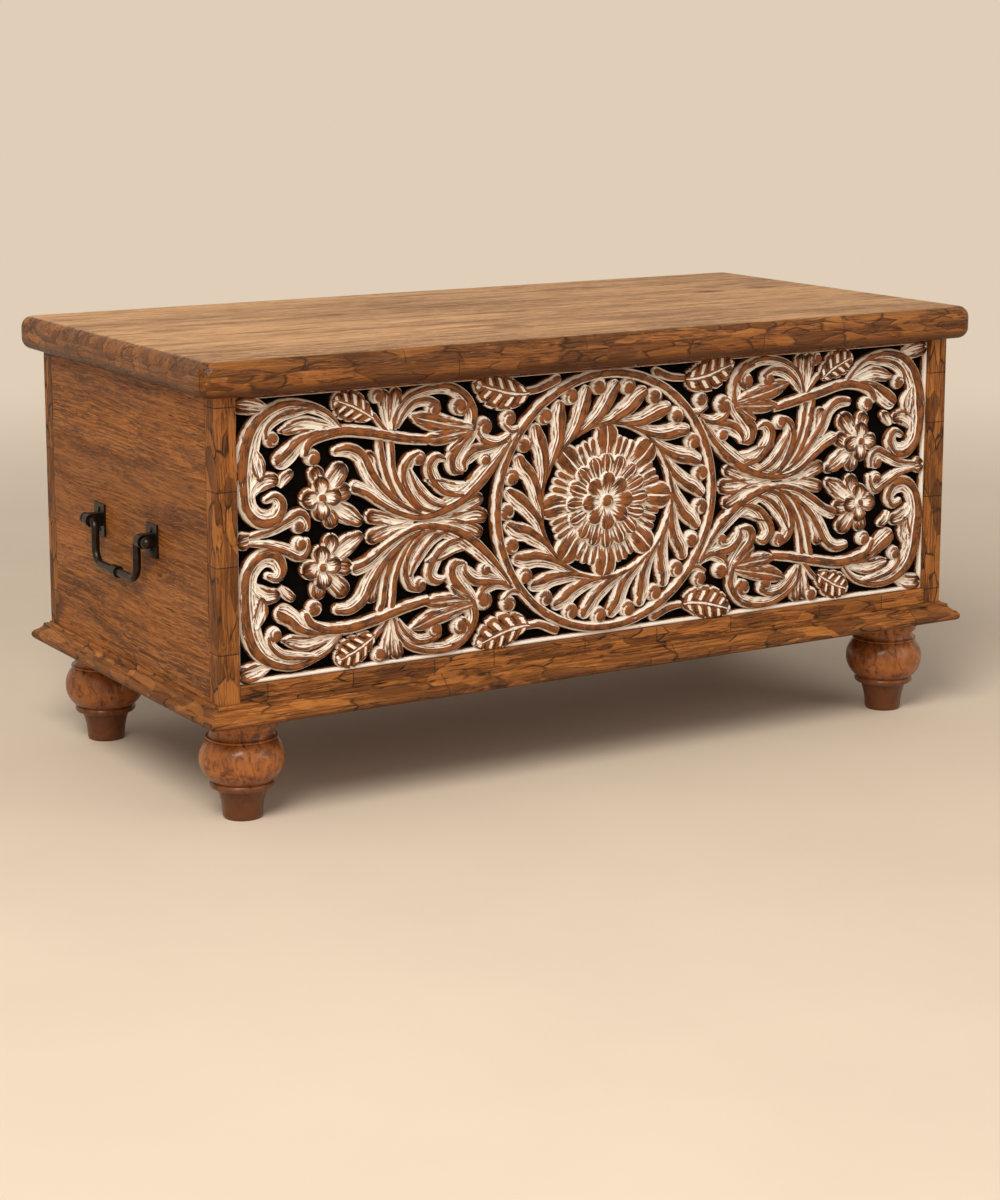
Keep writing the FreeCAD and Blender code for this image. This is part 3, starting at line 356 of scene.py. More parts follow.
def foot_wood(name):
    """Turned and polished feet with a swirling figure, darkened towards the floor by painted shade."""
    wood = bpy.context.scene.trunk_wood
    finish = Finish(name, Specular_IOR_Level=WAXED, Coat_Weight=0.4, Coat_Roughness=0.2)
    spot = finish.place()
    swirl = finish.bend(finish.bend(spot, 14.0, 0.05), 45.0, 0.016)
    figure = finish.cloud(finish.stretch(swirl, (1.0, 1.0, 0.5)), 100.0, 3.0, 0.6, 0.8)
    ripple = finish.cloud(finish.stretch(swirl, (1.0, 1.0, 0.35)), 260.0, 2.0, 0.6)
    shadow = finish.cloud(spot, 24.0, 3.0)
    pore = finish.cells(finish.stretch(spot, (1.0, 1.0, 0.8)), 42.0)
    shade = finish.mix(finish.span(figure, 0.34, 0.74), wood.foot_light, wood.foot_dark)
    shade = finish.mix(finish.span(ripple, 0.5, 0.6, 0.0, 0.6), shade, wood.foot_light)
    shade = finish.mix(finish.span(shadow, 0.46, 0.7, 0.0, 0.5), shade, wood.foot_dark)
    # Painted shade: the feet darken towards the dark foot tone below about 6 cm
    height = finish.part(finish.add("ShaderNodeTexCoord").outputs["Object"], "Z")
    shade = finish.mix(finish.span(height, 0.03, 0.06, 0.85, 0.0), shade, wood.foot_dark)
    pores = finish.span(pore, 0.02, 0.09, 0.6, 0.0)
    shade = finish.mix(pores, shade, wood.crack)
    finish.bump(finish.less(finish.times(ripple, 0.3), pores), 0.2, 0.0008)
    return finish.paint(shade, finish.span(figure, 0.3, 0.7, 0.36, 0.48))


def blackened_iron(name):
    """Hand-forged iron with a dull skin."""
    iron = bpy.context.scene.trunk_stage.iron
    finish = Finish(name, Metallic=0.8)
    spot = finish.place()
    skin = finish.cloud(spot, 120.0, 4.0, 0.6)
    dents = finish.cloud(spot, 220.0, 2.0)
    rust = finish.cloud(spot, 60.0, 5.0, 0.65)
    shade = finish.mix(finish.span(skin, 0.35, 0.7), [part * 0.6 for part in iron], iron)
    shade = finish.mix(finish.span(rust, 0.58, 0.75, 0.0, 0.5), shade, RUST)
    finish.bump(finish.plus(dents, skin), 0.08, 0.0005)
    return finish.paint(shade, finish.span(skin, 0.3, 0.7, 0.26, 0.38))


def dull_steel(name):
    """Plain steel with stains."""
    steel = bpy.context.scene.trunk_stage.steel
    finish = Finish(name, Metallic=1.0)
    spot = finish.place()
    brush = finish.cloud(finish.stretch(spot, (0.05, 1.0, 1.0)), 900.0, 2.0)
    stain = finish.cloud(spot, 70.0, 5.0, 0.6)
    shade = finish.mix(finish.span(stain, 0.45, 0.75, 0.0, 0.8), steel, [part * 0.4 for part in steel])
    finish.bump(brush, 0.15, 0.0004)
    return finish.paint(shade, finish.span(stain, 0.3, 0.7, 0.34, 0.5))


def black_board(name):
    """Blackened backing with a trace of grain; its near-black tone also stands in for the shade seen through
    the piercings.
    """
    backing = bpy.context.scene.trunk_carving.backing
    finish = Finish(name, Specular_IOR_Level=0.05)
    grain = finish.cloud(finish.stretch(finish.place(), (0.05, 1.0, 1.0)), 240.0, 4.0)
    shade = finish.mix(finish.span(grain, 0.4, 0.7), backing, [part * 1.8 for part in backing])
    finish.bump(grain, 0.3, 0.001)
    return finish.paint(shade, finish.span(grain, 0.3, 0.7, 0.9, 1.0))


def washed_carving(name):
    """Carved wood with whitewash in its hollows, brushed and rubbed along each stroke, and painted shade in
    the groove_shade colour where the whitewash goes below zero.
    """
    carving = bpy.context.scene.trunk_carving
    finish = Finish(name, Specular_IOR_Level=0.25)
    flow = finish.add("ShaderNodeUVMap", uv_map="grain").outputs[0]
    wash = finish.add("ShaderNodeAttribute", attribute_name="wash").outputs["Fac"]
    fibre = finish.cloud(finish.stretch(flow, (0.09, 1.0, 1.0)), 700.0, 4.0, 0.65)
    brush = finish.cloud(finish.stretch(flow, (0.12, 1.0, 1.0)), 620.0, 3.0, 0.6)
    patch = finish.cloud(finish.place(), 90.0, 3.0)
    dark = finish.plus(fibre, finish.times(finish.less(patch, 0.5), 0.9))
    shade = finish.mix(finish.span(dark, 0.4, 0.66), carving.brown, carving.brown_dark)
    # Painted shade: the groove_shade colour where the whitewash attribute goes below zero, in creases,
    # notches and at the feet of the walls
    shade = finish.mix(finish.span(wash, -0.55, -0.15, 1.0, 0.0), shade, carving.groove_shade)
    streaks = finish.times(finish.less(brush, 0.5), 2.2)
    blotch = finish.times(finish.less(patch, 0.5), 0.7)
    cover = finish.span(finish.plus(wash, finish.plus(streaks, blotch)), 0.22, 0.66)
    shade = finish.mix(cover, shade, carving.wash)
    finish.bump(finish.plus(fibre, finish.times(cover, 0.4)), 0.35, 0.0007)
    return finish.paint(shade, finish.span(cover, 0.0, 1.0, 0.42, 0.75))


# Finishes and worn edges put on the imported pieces
WELD_GAP = 0.00001
WORN_ANGLE = 40


def dress(names, material, rounding=0.0):
    """Give CAD nodes a finish, and round their edges where asked."""
    for name in names:
        node = NODES[name]
        for slot in node.material_slots:
            slot.material = material
        if rounding:
            weld = node.modifiers.new("weld", "WELD")
            weld.merge_threshold = WELD_GAP
            bevel = node.modifiers.new("worn_edge", "BEVEL")
            bevel.width = rounding
            bevel.segments = 2
            bevel.limit_method = "ANGLE"
            bevel.angle_limit = math.radians(WORN_ANGLE)
            bevel.harden_normals = True


def matching(*words):
    """Names of the nodes that hold any of the words."""
    return [name for name in NODES if any(word in name for word in words)]


# Drawing of the panel's upper left quarter, in steps from its top left corner: 1880 across to the middle
# and 640 down, with a ring of radius 625. A stroke is its kind and its points as (across, down, width).
DRAWN_ACROSS = 1880
DRAWN_DOWN = 640
DRAWN_RING = 625
QUARTER_STROKES = [
    # The corner's vine, its lobes and the leaves along the end
    ("leaf", [(505, 188, 18), (430, 112, 36), (345, 76, 46), (255, 64, 54), (165, 90, 66), (104, 146, 78),
              (68, 226, 96), (56, 316, 100), (52, 410, 84), (66, 496, 76), (118, 552, 80), (182, 548, 78),
              (212, 498, 62), (188, 460, 46), (152, 470, 30)]),
    ("leaf", [(385, 84, 18), (300, 92, 34), (215, 112, 40), (162, 152, 40), (152, 192, 30)]),
    ("petal", [(500, 190, 20), (430, 172, 52), (330, 152, 74), (255, 168, 52), (226, 172, 20)]),
    ("petal", [(160, 74, 30), (96, 52, 76), (44, 42, 80)]),
    ("petal", [(70, 225, 20), (98, 275, 60), (112, 318, 76), (116, 362, 40)]),
    ("petal", [(80, 450, 18), (100, 412, 56), (140, 384, 74), (176, 382, 58)]),
    ("petal", [(212, 420, 18), (232, 387, 46), (252, 366, 40)]),
    ("leaf", [(60, 628, 20), (160, 612, 38), (240, 576, 52), (300, 548, 56), (330, 578, 44), (336, 608, 26)]),
    # The branch, its curl and its flared end
    ("branch", [(925, 275, 40), (800, 252, 48), (650, 218, 50), (520, 196, 52), (420, 202, 50),
                (352, 232, 46), (326, 275, 38)]),
    ("leaf", [(480, 190, 20), (380, 198, 44), (310, 228, 62), (258, 268, 82), (226, 292, 86)]),
    # Stems and leaves that fan out from the middle line
    ("bough", [(1340, 300, 24), (1290, 370, 44), (1215, 450, 66), (1110, 536, 76), (1000, 586, 66),
               (890, 608, 52), (790, 585, 50), (700, 530, 54), (630, 480, 56), (575, 455, 58)]),
    ("leaf", [(900, 612, 22), (790, 560, 44), (700, 480, 58), (640, 400, 66), (595, 320, 66), (540, 282, 58),
              (486, 282, 44)]),
    ("petal", [(690, 445, 16), (662, 380, 36), (648, 340, 60), (645, 328, 62)]),
    ("stem", [(850, 600, 20), (770, 510, 32), (722, 410, 34), (700, 300, 36), (690, 260, 34)]),
    ("stem", [(890, 600, 20), (806, 500, 30), (762, 400, 30), (748, 300, 32), (744, 240, 30)]),
    ("petal", [(742, 225, 22), (754, 150, 34), (768, 95, 54), (768, 56, 62)]),
    ("petal", [(738, 215, 18), (722, 140, 34), (716, 90, 52), (716, 58, 56)]),
    ("stem", [(735, 225, 20), (700, 182, 24), (664, 140, 24)]),
    # Curled leaves between the stems and the ring
    ("leaf", [(985, 602, 22), (900, 572, 44), (838, 500, 58), (815, 420, 62), (838, 360, 56),
              (878, 334, 34)]),
    ("leaf", [(1050, 588, 22), (950, 550, 42), (880, 480, 46), (838, 400, 22)]),
    ("leaf", [(1140, 542, 24), (1030, 518, 48), (965, 458, 62), (940, 395, 64), (970, 358, 52),
              (1004, 364, 22)]),
    ("petal", [(1200, 500, 24), (1080, 504, 52), (990, 480, 54), (928, 456, 18)]),
    # The scroll over them, its curls and its lobed leaf
    ("leaf", [(757, 210, 28), (780, 132, 38), (838, 76, 44), (930, 44, 46), (1030, 46, 52), (1108, 88, 60),
              (1148, 160, 62), (1145, 230, 56)]),
    ("leaf", [(1165, 185, 24), (1152, 255, 52), (1102, 318, 66), (1062, 370, 84), (1062, 412, 72),
              (1096, 424, 26)]),
    ("leaf", [(1040, 58, 20), (1100, 80, 34), (1126, 125, 38), (1104, 156, 34)]),
    ("leaf", [(775, 200, 20), (812, 142, 38), (870, 100, 46), (930, 94, 46), (972, 112, 40)]),
    ("lobe", [(1150, 232, 30), (1050, 212, 72), (950, 188, 86), (885, 168, 64), (850, 156, 22)]),
    ("lobe", [(1150, 245, 30), (1045, 256, 74), (965, 262, 66), (918, 264, 28)]),
    ("lobe", [(1140, 255, 28), (1085, 292, 60), (1042, 322, 28)]),
    # Leaves that spring from the ring
    ("leaf", [(1330, 318, 22), (1235, 336, 52), (1162, 346, 66), (1120, 385, 56), (1114, 416, 24)]),
    ("leaf", [(1350, 282, 22), (1280, 310, 44), (1218, 292, 50), (1188, 264, 32)]),
    ("leaf", [(1400, 250, 20), (1360, 262, 32), (1318, 240, 24)]),
    ("stem", [(1443, 92, 30), (1518, 82, 36), (1601, 52, 44)]),
    # Heart and trefoil on the middle line
    ("petal", [(860, 638, 24), (760, 626, 46), (698, 606, 62), (656, 594, 64)]),
    ("petal", [(930, 638, 24), (1040, 620, 52), (1130, 586, 66), (1174, 564, 62)]),
    # The flower's outer petals
    ("petal", [(402, 440, 34), (394, 398, 68), (390, 376, 70)]),
    ("petal", [(425, 455, 34), (465, 412, 84), (492, 382, 90)]),
    ("petal", [(440, 480, 34), (492, 475, 76), (512, 472, 78)]),
    ("petal", [(440, 510, 34), (500, 548, 84), (548, 580, 82), (580, 604, 52)]),
    ("petal", [(415, 520, 34), (445, 572, 74), (450, 590, 76)]),
]
AXIS_STROKES = [
    ("petal", [(120, 640, 24), (76, 640, 46), (44, 640, 78)]),
    ("petal", [(930, 640, 30), (1080, 640, 66), (1160, 640, 82), (1196, 640, 70)]),
]
# Veined leaves as their midrib, with the leaf's width at each point
VEINED_LEAVES = [
    [(655, 152, 60), (608, 120, 130), (552, 88, 140), (498, 66, 84), (462, 54, 10)],
    [(1446, 96, 70), (1400, 98, 140), (1320, 86, 168), (1235, 60, 120), (1160, 34, 10)],
]
# Curled ends as (across, down, radius)
CURLS = [(176, 206, 34), (368, 302, 36), (680, 52, 34), (1085, 132, 40), (958, 132, 38), (1215, 384, 30),
         (1212, 236, 44), (1342, 206, 38), (884, 350, 34), (300, 600, 32)]
FLOWER_CENTRE = (405, 485)
# Rings of petals from the rim to the heart: kind, directions in degrees, points as (distance, width) in mm
FLOWER_RINGS = [("cup", [90 * number for number in range(4)], [(4, 9), (9, 17), (12.5, 20.5)])]

# Medallion in millimetres: a wreath leaf as (radius, degrees behind its ball, width)
WREATH_LEAVES = 21
WREATH_LEAF = [(87, 33, 4), (88, 24, 8), (91, 15, 12), (98, 7, 15.5), (108, 1.5, 17.5), (118, -1.5, 19),
               (126, -4.5, 14)]
WREATH_BALL = (129, 4.5, 9.5)
INNER_RING = (87, 6)
ROSETTE_RINGS = [
    ("sepal", [112.5 + 45 * number + lean for number in range(8) for lean in (-7.6, 0, 7.6)],
     [(34, 4), (56, 8), (69, 7.5)]),
    ("paddle", [90 + 45 * number for number in range(8)], [(30, 10), (54, 21), (65, 29), (72, 30)]),
    ("scallop", [90 + 22.5 * number for number in range(16)], [(18, 7), (34, 15), (43.5, 19)]),
    ("heart", [90 + 45 * number for number in range(8)], [(6, 7), (15, 15), (22.5, 20)]),
]


def mirrored(half):
    """A whole cross-section from its left half."""
    return half + [(-place, height, wash) for place, height, wash in reversed(half) if place]


# Cross-sections from the left edge to the right as (place, height in mm for a stroke 10 mm wide, whitewash);
# whitewash below zero paints shade in the groove_shade colour
ROUND = mirrored([(-1, -3.2, 1.0), (-0.86, -1.5, 0.75), (-0.62, 0.0, 0.05), (-0.2, 1.0, -0.05)])
CRESTED = [(-1, -2.6, 0.95), (-0.9, -0.7, 0.5), (-0.74, 0.8, 0.0), (-0.4, 1.2, -0.05), (-0.1, 0.7, -0.05),
           (0.04, -0.2, -0.4), (0.15, -1.4, 0.95), (0.26, -1.2, 0.45), (0.42, -1.4, 0.3), (0.53, -2.3, 0.95),
           (0.63, -2.1, 0.5), (0.78, -2.3, 0.4), (0.9, -2.9, 0.95), (1, -3.2, 1.0)]
HOLLOW = mirrored([(-1, -2.6, 0.95), (-0.88, 0.1, 0.25), (-0.72, 0.6, -0.1), (-0.54, -0.2, 0.0),
                   (-0.4, -1.0, 0.7), (-0.3, -0.9, 0.3), (-0.12, -1.7, 0.35), (0, -2.4, 0.9)])
CUPPED = mirrored([(-1, -2.2, 1.0), (-0.92, -0.5, 0.5), (-0.8, 0.6, -0.1), (-0.62, 0.3, -0.05),
                   (-0.46, -0.8, 0.6), (-0.3, -1.0, 0.45), (-0.15, -1.5, 0.9), (0, -1.5, 0.6)])
LOBED = mirrored([(-1, -2.6, 0.95), (-0.86, -0.4, 0.35), (-0.5, 0.9, 0.0), (-0.14, 0.5, 0.05),
                  (0, -1.0, 1.0)])
PADDLED = mirrored([(-1, -2.2, 1.0), (-0.9, -1.0, 0.7), (-0.72, 0.1, 0.05), (-0.4, 0.7, -0.05),
                    (-0.12, 0.8, 0.0), (0, 0.3, 0.95)])
LOOPED = mirrored([(-1, -2.0, 1.0), (-0.88, -0.7, 0.65), (-0.68, 0.5, 0.0), (-0.52, 0.3, 0.2),
                   (-0.4, -0.2, 0.95), (-0.28, 0.3, 0.1), (0, 0.7, -0.1)])
DIPPED = mirrored([(-1, -1.8, 1.0), (-0.86, -0.5, 0.55), (-0.6, 0.5, 0.0), (-0.25, 0.1, 0.1),
                   (0, -0.3, 0.35)])
FLAT = mirrored([(-1, -1.5, 1.0), (-0.6, 0.2, 0.9), (0, 0.4, 0.8)])

# Kinds of stroke: cross-section, height over the panel's back, dip at the start, and the extra whitewash
# at the start, the end and the tip
Cut = namedtuple("Cut", "section lift dip start end tip", defaults=(0.0, 0.0, 0.0, 0.0))
KINDS = {
    "stem": Cut(ROUND, 9.4),
    "branch": Cut(ROUND, 12.0, tip=0.2),
    "leaf": Cut(CRESTED, 10.6, start=-0.1, end=0.05, tip=-0.4),
    "bough": Cut(CRESTED, 12.0, start=-0.1, end=0.05, tip=-0.4),
    "petal": Cut(HOLLOW, 10.2, dip=3.0, start=0.7, end=-0.15, tip=-0.9),
    "lobe": Cut(LOBED, 11.2, start=0.2, end=-0.1, tip=0.1),
    "sepal": Cut(ROUND, 8.4, dip=4.0, start=0.95, end=-0.15),
    "paddle": Cut(PADDLED, 9.6, dip=6.0, start=1.0, end=-0.2),
    "scallop": Cut(LOOPED, 11.2, dip=6.0, start=0.8, end=-0.2),
    "heart": Cut(DIPPED, 12.6, dip=6.0, start=0.8, end=-0.25),
    "cup": Cut(CUPPED, 12.4, dip=5.0, start=0.5, end=-0.05, tip=-1.2),
    "border": Cut(FLAT, 8.6),
}
# Rounded tip of a stroke, its reach for its width and its drop
TIP = (0.3, 0.56, 0.78, 0.93, 0.995)
TIP_REACH = 0.48
TIP_DROP = 1.4
# Walls down to the panel's back: height of their foot, drop and spread of their rim, and their whitewash,
# which at the foot is below zero to paint shade in the groove_shade colour
WALL_FOOT = 0.6
SKIRT = 2.6
HALO = 1.6
RIM_HALO = 0.25 * HALO
RIM_WASH = 0.9
WALL_FOOT_SHADE = -0.6
SECTION_WIDTH = 10
MOST_SWELL = 1.5
# A carver's hand: how far points, widths and heights stray
HAND_SPREAD = 0.45
HAND_WIDTH = (0.95, 1.06)
LIFT_SPREAD = 0.3
UNEVEN = 0.4
STROKE_WAVE = 0.06
RING_WAVE = 0.05
GRAIN_RUN = 400
GRAIN_ROUND = 150
# Curled ends: a dome with a crescent cut into it
BALL_TOP = 12.8
BALL_RISE = 0.55
BALL_SIDES = 28
BALL_LEVELS = 8
CRESCENT_TURN = 0.8
CRESCENT_SPAN = 0.15
CRESCENT_CUT = 1.4
# Veined leaves: pairs of lobes, points across and along, and the spans of a notch and a vein
LEAF_PAIRS = 5
LEAF_LIFT = 10.2
LEAF_LIFT_SPREAD = 0.2
LEAF_SIDE_POINTS = 9
LEAF_LOBE_ROWS = 10
LEAF_SWEEP = 0.55
LEAF_GRAIN = 60
NOTCH_SPAN = 0.16
NOTCH_CUT = 0.26
VEIN_SPAN = 0.15
# Medallion's ring and border, and the balls at the flowers' hearts
RING_INSET = 3
RING_WIDTH = 10
RING_RAISE = 2.6
RING_CHORD = 1.3
BORDER_INSET = 1.9
BORDER_WIDTH = 3.2
FLOWER_HEART = 5.2
ROSETTE_HEART = 8.0
HEART_RAISE = 0.7
SCROLL_SEED = 11
MEDALLION_SEED = 5
# Finished piece: room to the panel's box in metres, limits of the whitewash, angle of a sharp edge
FACE_SLACK = 0.0001
SIDE_SLACK = 0.0004
END_SLACK = 0.0002
LEAST_WASH = -0.7
MOST_WASH = 1.3
SHARP_ANGLE = 50


def smooth_line(points, chord):
    """Points of a curve through all the given ones, about one chord apart."""
    padded = [points[0], *points, points[-1]]
    line = []
    for first, here, there, last in zip(padded, padded[1:], padded[2:], padded[3:]):
        steps = max(1, round(math.dist(here[:2], there[:2]) / chord))
        for step in range(steps):
            t = step / steps
            line.append([0.5 * (2 * b + (c - a) * t + (2 * a - 5 * b + 4 * c - d) * t**2
                                + (3 * b - a - 3 * c + d) * t**3)
                         for a, b, c, d in zip(first, here, there, last)])
    line.append(list(points[-1]))
    return line


def polar(radius, degrees):
    return radius * math.cos(math.radians(degrees)), radius * math.sin(math.radians(degrees))


def runs_of(line, closed=False):
    """Direction of a line at each of its points."""
    count = len(line)
    runs = []
    for number in range(count):
        if closed:
            back, ahead = line[number - 1], line[(number + 1) % count]
        else:
            back, ahead = line[max(number - 1, 0)], line[min(number + 1, count - 1)]
        runs.append(Vector((ahead[0] - back[0], ahead[1] - back[1])).normalized())
    return runs


def ramp(amount, low, high):
    """0 below the low end, 1 above the high end, and a straight rise between."""
    return min(1.0, max(0.0, (amount - low) / (high - low)))


class Carver:
    """Collects the closed shells of one carved piece, with their whitewash and grain."""

    def __init__(self, seed):
        carving = bpy.context.scene.trunk_carving
        self.luck = random.Random(seed)
        self.relief = carving.relief
        self.sample = carving.sample * 1000
        self.points, self.faces, self.wash, self.grain = [], [], [], []

    def point(self, x, z, rise, wash, flow):
        """Adds one point; returns its number."""
        self.points.append((x, z, rise))
        self.wash.append(wash)
        self.grain.append((flow[0] / 1000, flow[1] / 1000))
        return len(self.points) - 1

    def row(self, centre, run, half, section, lift, flow, sweep=0.0, ahead=0.0):
        """One cross-section from its left foot over the relief to its right; returns its points' numbers."""
        left = Vector((-run.y, run.x))
        travel, offset = flow
        swell = self.relief * min(MOST_SWELL, 2 * half / SECTION_WIDTH)

        def spot(place, grow, push):
            reach = place * half + math.copysign(grow, place)
            return Vector(centre) - left * reach + run * (sweep * abs(place) * half + push)

        def wall(place, levels):
            across = (travel + offset, place * half)
            return [self.point(*spot(place, grow, ahead), rise, wash, across) for grow, rise, wash in levels]

        foot = (HALO, WALL_FOOT, WALL_FOOT_SHADE)
        rim = (RIM_HALO, max(lift - SKIRT, 1.5 * WALL_FOOT), RIM_WASH)
        numbers = wall(section[0][0], (foot, rim))
        for place, height, wash in section:
            across = (travel + offset, place * half + 3 * offset)
            numbers.append(self.point(*spot(place, 0, 0), lift + height * swell, wash, across))
        return numbers + wall(section[-1][0], (rim, foot))

    def skin(self, rows, closed):
        """Faces over a line of cross-sections, with their back and their ends."""
        pairs = list(zip(rows, rows[1:]))
        if closed:
            pairs.append((rows[-1], rows[0]))
        for here, there in pairs:
            for number in range(len(here)):
                ahead = (number + 1) % len(here)
                self.faces.append((here[number], here[ahead], there[ahead], there[number]))
        if not closed:
            self.faces.append(tuple(reversed(rows[0])))
            self.faces.append(tuple(rows[-1]))

    def by_hand(self, points):
        """The points, a little off as a carver cuts them."""
        luck = self.luck
        moved = []
        for x, z, width in points:
            moved.append((x + luck.gauss(0, HAND_SPREAD), z + luck.gauss(0, HAND_SPREAD),
                          width * luck.uniform(*HAND_WIDTH)))
        return moved

    def stroke(self, kind, points):
        """A carved stroke with a rounded tip; a leaf's crest lies on the outside of its bend."""
        section, lift, dip, start, end, tip = KINDS[kind]
        line = smooth_line(self.by_hand(points), self.sample)
        runs = runs_of(line)
        turning = sum(one.x * two.y - one.y * two.x for one, two in zip(runs, runs[1:]))
        if turning > 0:
            section = [(-place, height, wash) for place, height, wash in reversed(section)]
        lift += self.luck.uniform(-LIFT_SPREAD, LIFT_SPREAD)
        offset = self.luck.uniform(0, GRAIN_RUN)
        rows = []
        travel = 0.0
        for number, ((x, z, width), run) in enumerate(zip(line, runs)):
            share = number / (len(line) - 1)
            fade = start + (end - start) * share
            travel += math.dist((x, z), line[max(number - 1, 0)][:2])
            rise = lift - dip * (1 - share) + UNEVEN * noise.noise(Vector((x, z, offset)) * STROKE_WAVE)
            faded = [(place, height, wash + fade) for place, height, wash in section]
            rows.append(self.row((x, z), run, width / 2, faded, rise, (travel, offset)))
        x, z, width = line[-1]
        for share in TIP:
            reach = TIP_REACH * width * share
            half = width / 2 * math.sqrt(1 - share * share)
            faded = [(place, height, wash + end + tip * share) for place, height, wash in section]
            centre = Vector((x, z)) + runs[-1] * reach
            rows.append(self.row(centre, runs[-1], half, faded, lift - TIP_DROP * share**4,
                                 (travel + reach, offset), ahead=HALO * share))
        self.skin(rows, closed=False)

    def hoop(self, kind, radius, width, raise_by=0.0):
        """A closed ring round the panel's middle."""
        cut = KINDS[kind]
        count = round(2 * math.pi * radius / (RING_CHORD * self.sample))
        line = [polar(radius, 360 * number / count) for number in range(count)]
        rows = []
        for number, (spot, run) in enumerate(zip(line, runs_of(line, closed=True))):
            travel = 2 * math.pi * radius * number / count
            rise = cut.lift + raise_by + UNEVEN * noise.noise(Vector((*spot, 0)) * RING_WAVE)
            rows.append(self.row(spot, run, width / 2, cut.section, rise, (travel, 0.0)))
        self.skin(rows, closed=True)

    def disc(self, centre, levels, lift):
        """A round shell and its wall, from levels of (reach, height, whitewash) round a centre."""
        x, z = centre
        count = len(levels[0])

        def ring(around, grow):
            numbers = []
            for number, (reach, rise, wash) in enumerate(around):
                side, up = polar(reach + grow, 360 * number / count)
                flow = (reach, number * GRAIN_ROUND / count)
                numbers.append(self.point(x + side, z + up, rise, wash, flow))
            return numbers

        rings = [ring(around, 0) for around in levels]
        for grow, rise, wash in ((RIM_HALO, lift - SKIRT, RIM_WASH), (HALO, WALL_FOOT, WALL_FOOT_SHADE)):
            rings.append(ring([(reach, rise, wash) for reach, _, _ in levels[-1]], grow))
        for inner, outer in zip(rings, rings[1:]):
            for number in range(count):
                ahead = (number + 1) % count
                self.faces.append((inner[number], outer[number], outer[ahead], inner[ahead]))
        self.faces.append(tuple(reversed(rings[0])))
        self.faces.append(tuple(rings[-1]))

    def rosette(self, centre, rings):
        """Petals round a centre, one ring over the other."""
        for kind, petals, points in rings:
            for degrees in petals:
                line = []
                for distance, width in points:
                    side, up = polar(distance, degrees)
                    line.append((centre[0] + side, centre[1] + up, width))
                self.stroke(kind, line)

    def ball(self, x, z, radius, hand, raise_by=0.0):
        """A curled end: a dome with a pale crescent cut into it."""
        start = self.luck.uniform(0.0, 1.0)
        dome = BALL_RISE * radius
        lift = BALL_TOP + raise_by - dome
        levels = []
        for level in range(1, BALL_LEVELS + 1):
            share = level / BALL_LEVELS
            around = []
            for number in range(BALL_SIDES):
                phase = (hand * number / BALL_SIDES + CRESCENT_TURN * share + start) % 1
                cut = max(0.0, 1 - abs(phase - 0.5) / CRESCENT_SPAN) * ramp(share, 0.25, 0.6)
                rise = lift + dome * math.sqrt(max(0.0, 1 - share**2.2)) - CRESCENT_CUT * cut
                around.append((radius * share, rise, -0.05 + 1.1 * max(cut, share**9)))
            levels.append(around)
        self.disc((x, z), levels, lift)

    def veined_leaf(self, points):
        """A lobed leaf with pale lines cut along its midrib and veins."""
        line = smooth_line(points, 1.0)
        runs = runs_of(line)
        lift = LEAF_LIFT + self.luck.uniform(-LEAF_LIFT_SPREAD, LEAF_LIFT_SPREAD)
        offset = self.luck.uniform(0, GRAIN_RUN)
        steps = LEAF_LOBE_ROWS * LEAF_PAIRS
        rows = []
        for step in range(steps + 1):
            share = step / steps
            number = round(share * (len(line) - 1))
            x, z, width = line[number]
            phase = share * LEAF_PAIRS % 1
            notch = max(0.0, 1 - min(phase, 1 - phase) / NOTCH_SPAN)
            vein = max(0.0, 1 - abs(phase - 0.5) / VEIN_SPAN)
            half = width / 2 * (1 - NOTCH_CUT * notch)
            section = []
            for point in range(-LEAF_SIDE_POINTS, LEAF_SIDE_POINTS + 1):
                place = point / LEAF_SIDE_POINTS
                side = abs(place)
                height = 2.0 * (1 - side**2) - 1.8 * notch * side - 0.7 * vein
                # Whitewash below zero in the notches paints shade in the groove_shade colour
                wash = -0.1 - 0.5 * notch * side
                if side < 0.06 or vein > 0.3 and 0.15 < side < 0.75:
                    wash = 1.0
                if side > 0.95:
                    height, wash = -2.0, 0.9
                section.append((place, height, wash))
            rows.append(self.row((x, z), runs[number], half, section, lift, (share * LEAF_GRAIN, offset),
                                 sweep=LEAF_SWEEP))
        self.skin(rows, closed=False)

    def piece(self, name, material):
        """The collected shells as one object on the panel's place."""
        low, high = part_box("carved_front_panel")
        middle = (low.z + high.z) / 2
        deepest = high.y - low.y - FACE_SLACK
        limit_x = high.x - SIDE_SLACK
        limit_z = (high.z - low.z) / 2 - END_SLACK
        places = []
        for x, z, rise in self.points:
            across = max(-limit_x, min(limit_x, x / 1000))
            up = max(-limit_z, min(limit_z, z / 1000))
            places.append((across, high.y - min(rise / 1000, deepest), middle + up))
        mesh = bpy.data.meshes.new(name)
        mesh.from_pydata(places, [], self.faces)
        work = bmesh.new()
        work.from_mesh(mesh)
        bmesh.ops.recalc_face_normals(work, faces=work.faces)
        work.to_mesh(mesh)
        work.free()
        wash = mesh.attributes.new("wash", "FLOAT", "POINT")
        wash.data.foreach_set("value", [min(MOST_WASH, max(LEAST_WASH, share)) for share in self.wash])
        grain = mesh.uv_layers.new(name="grain")
        for loop in mesh.loops:
            grain.data[loop.index].uv = self.grain[loop.vertex_index]
        mesh.shade_smooth()
        mesh.set_sharp_from_angle(angle=math.radians(SHARP_ANGLE))
        mesh.materials.append(material)
        thing = bpy.data.objects.new(name, mesh)
        bpy.context.scene.collection.objects.link(thing)
        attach(thing, "chest")
        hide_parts("carved_front_panel")


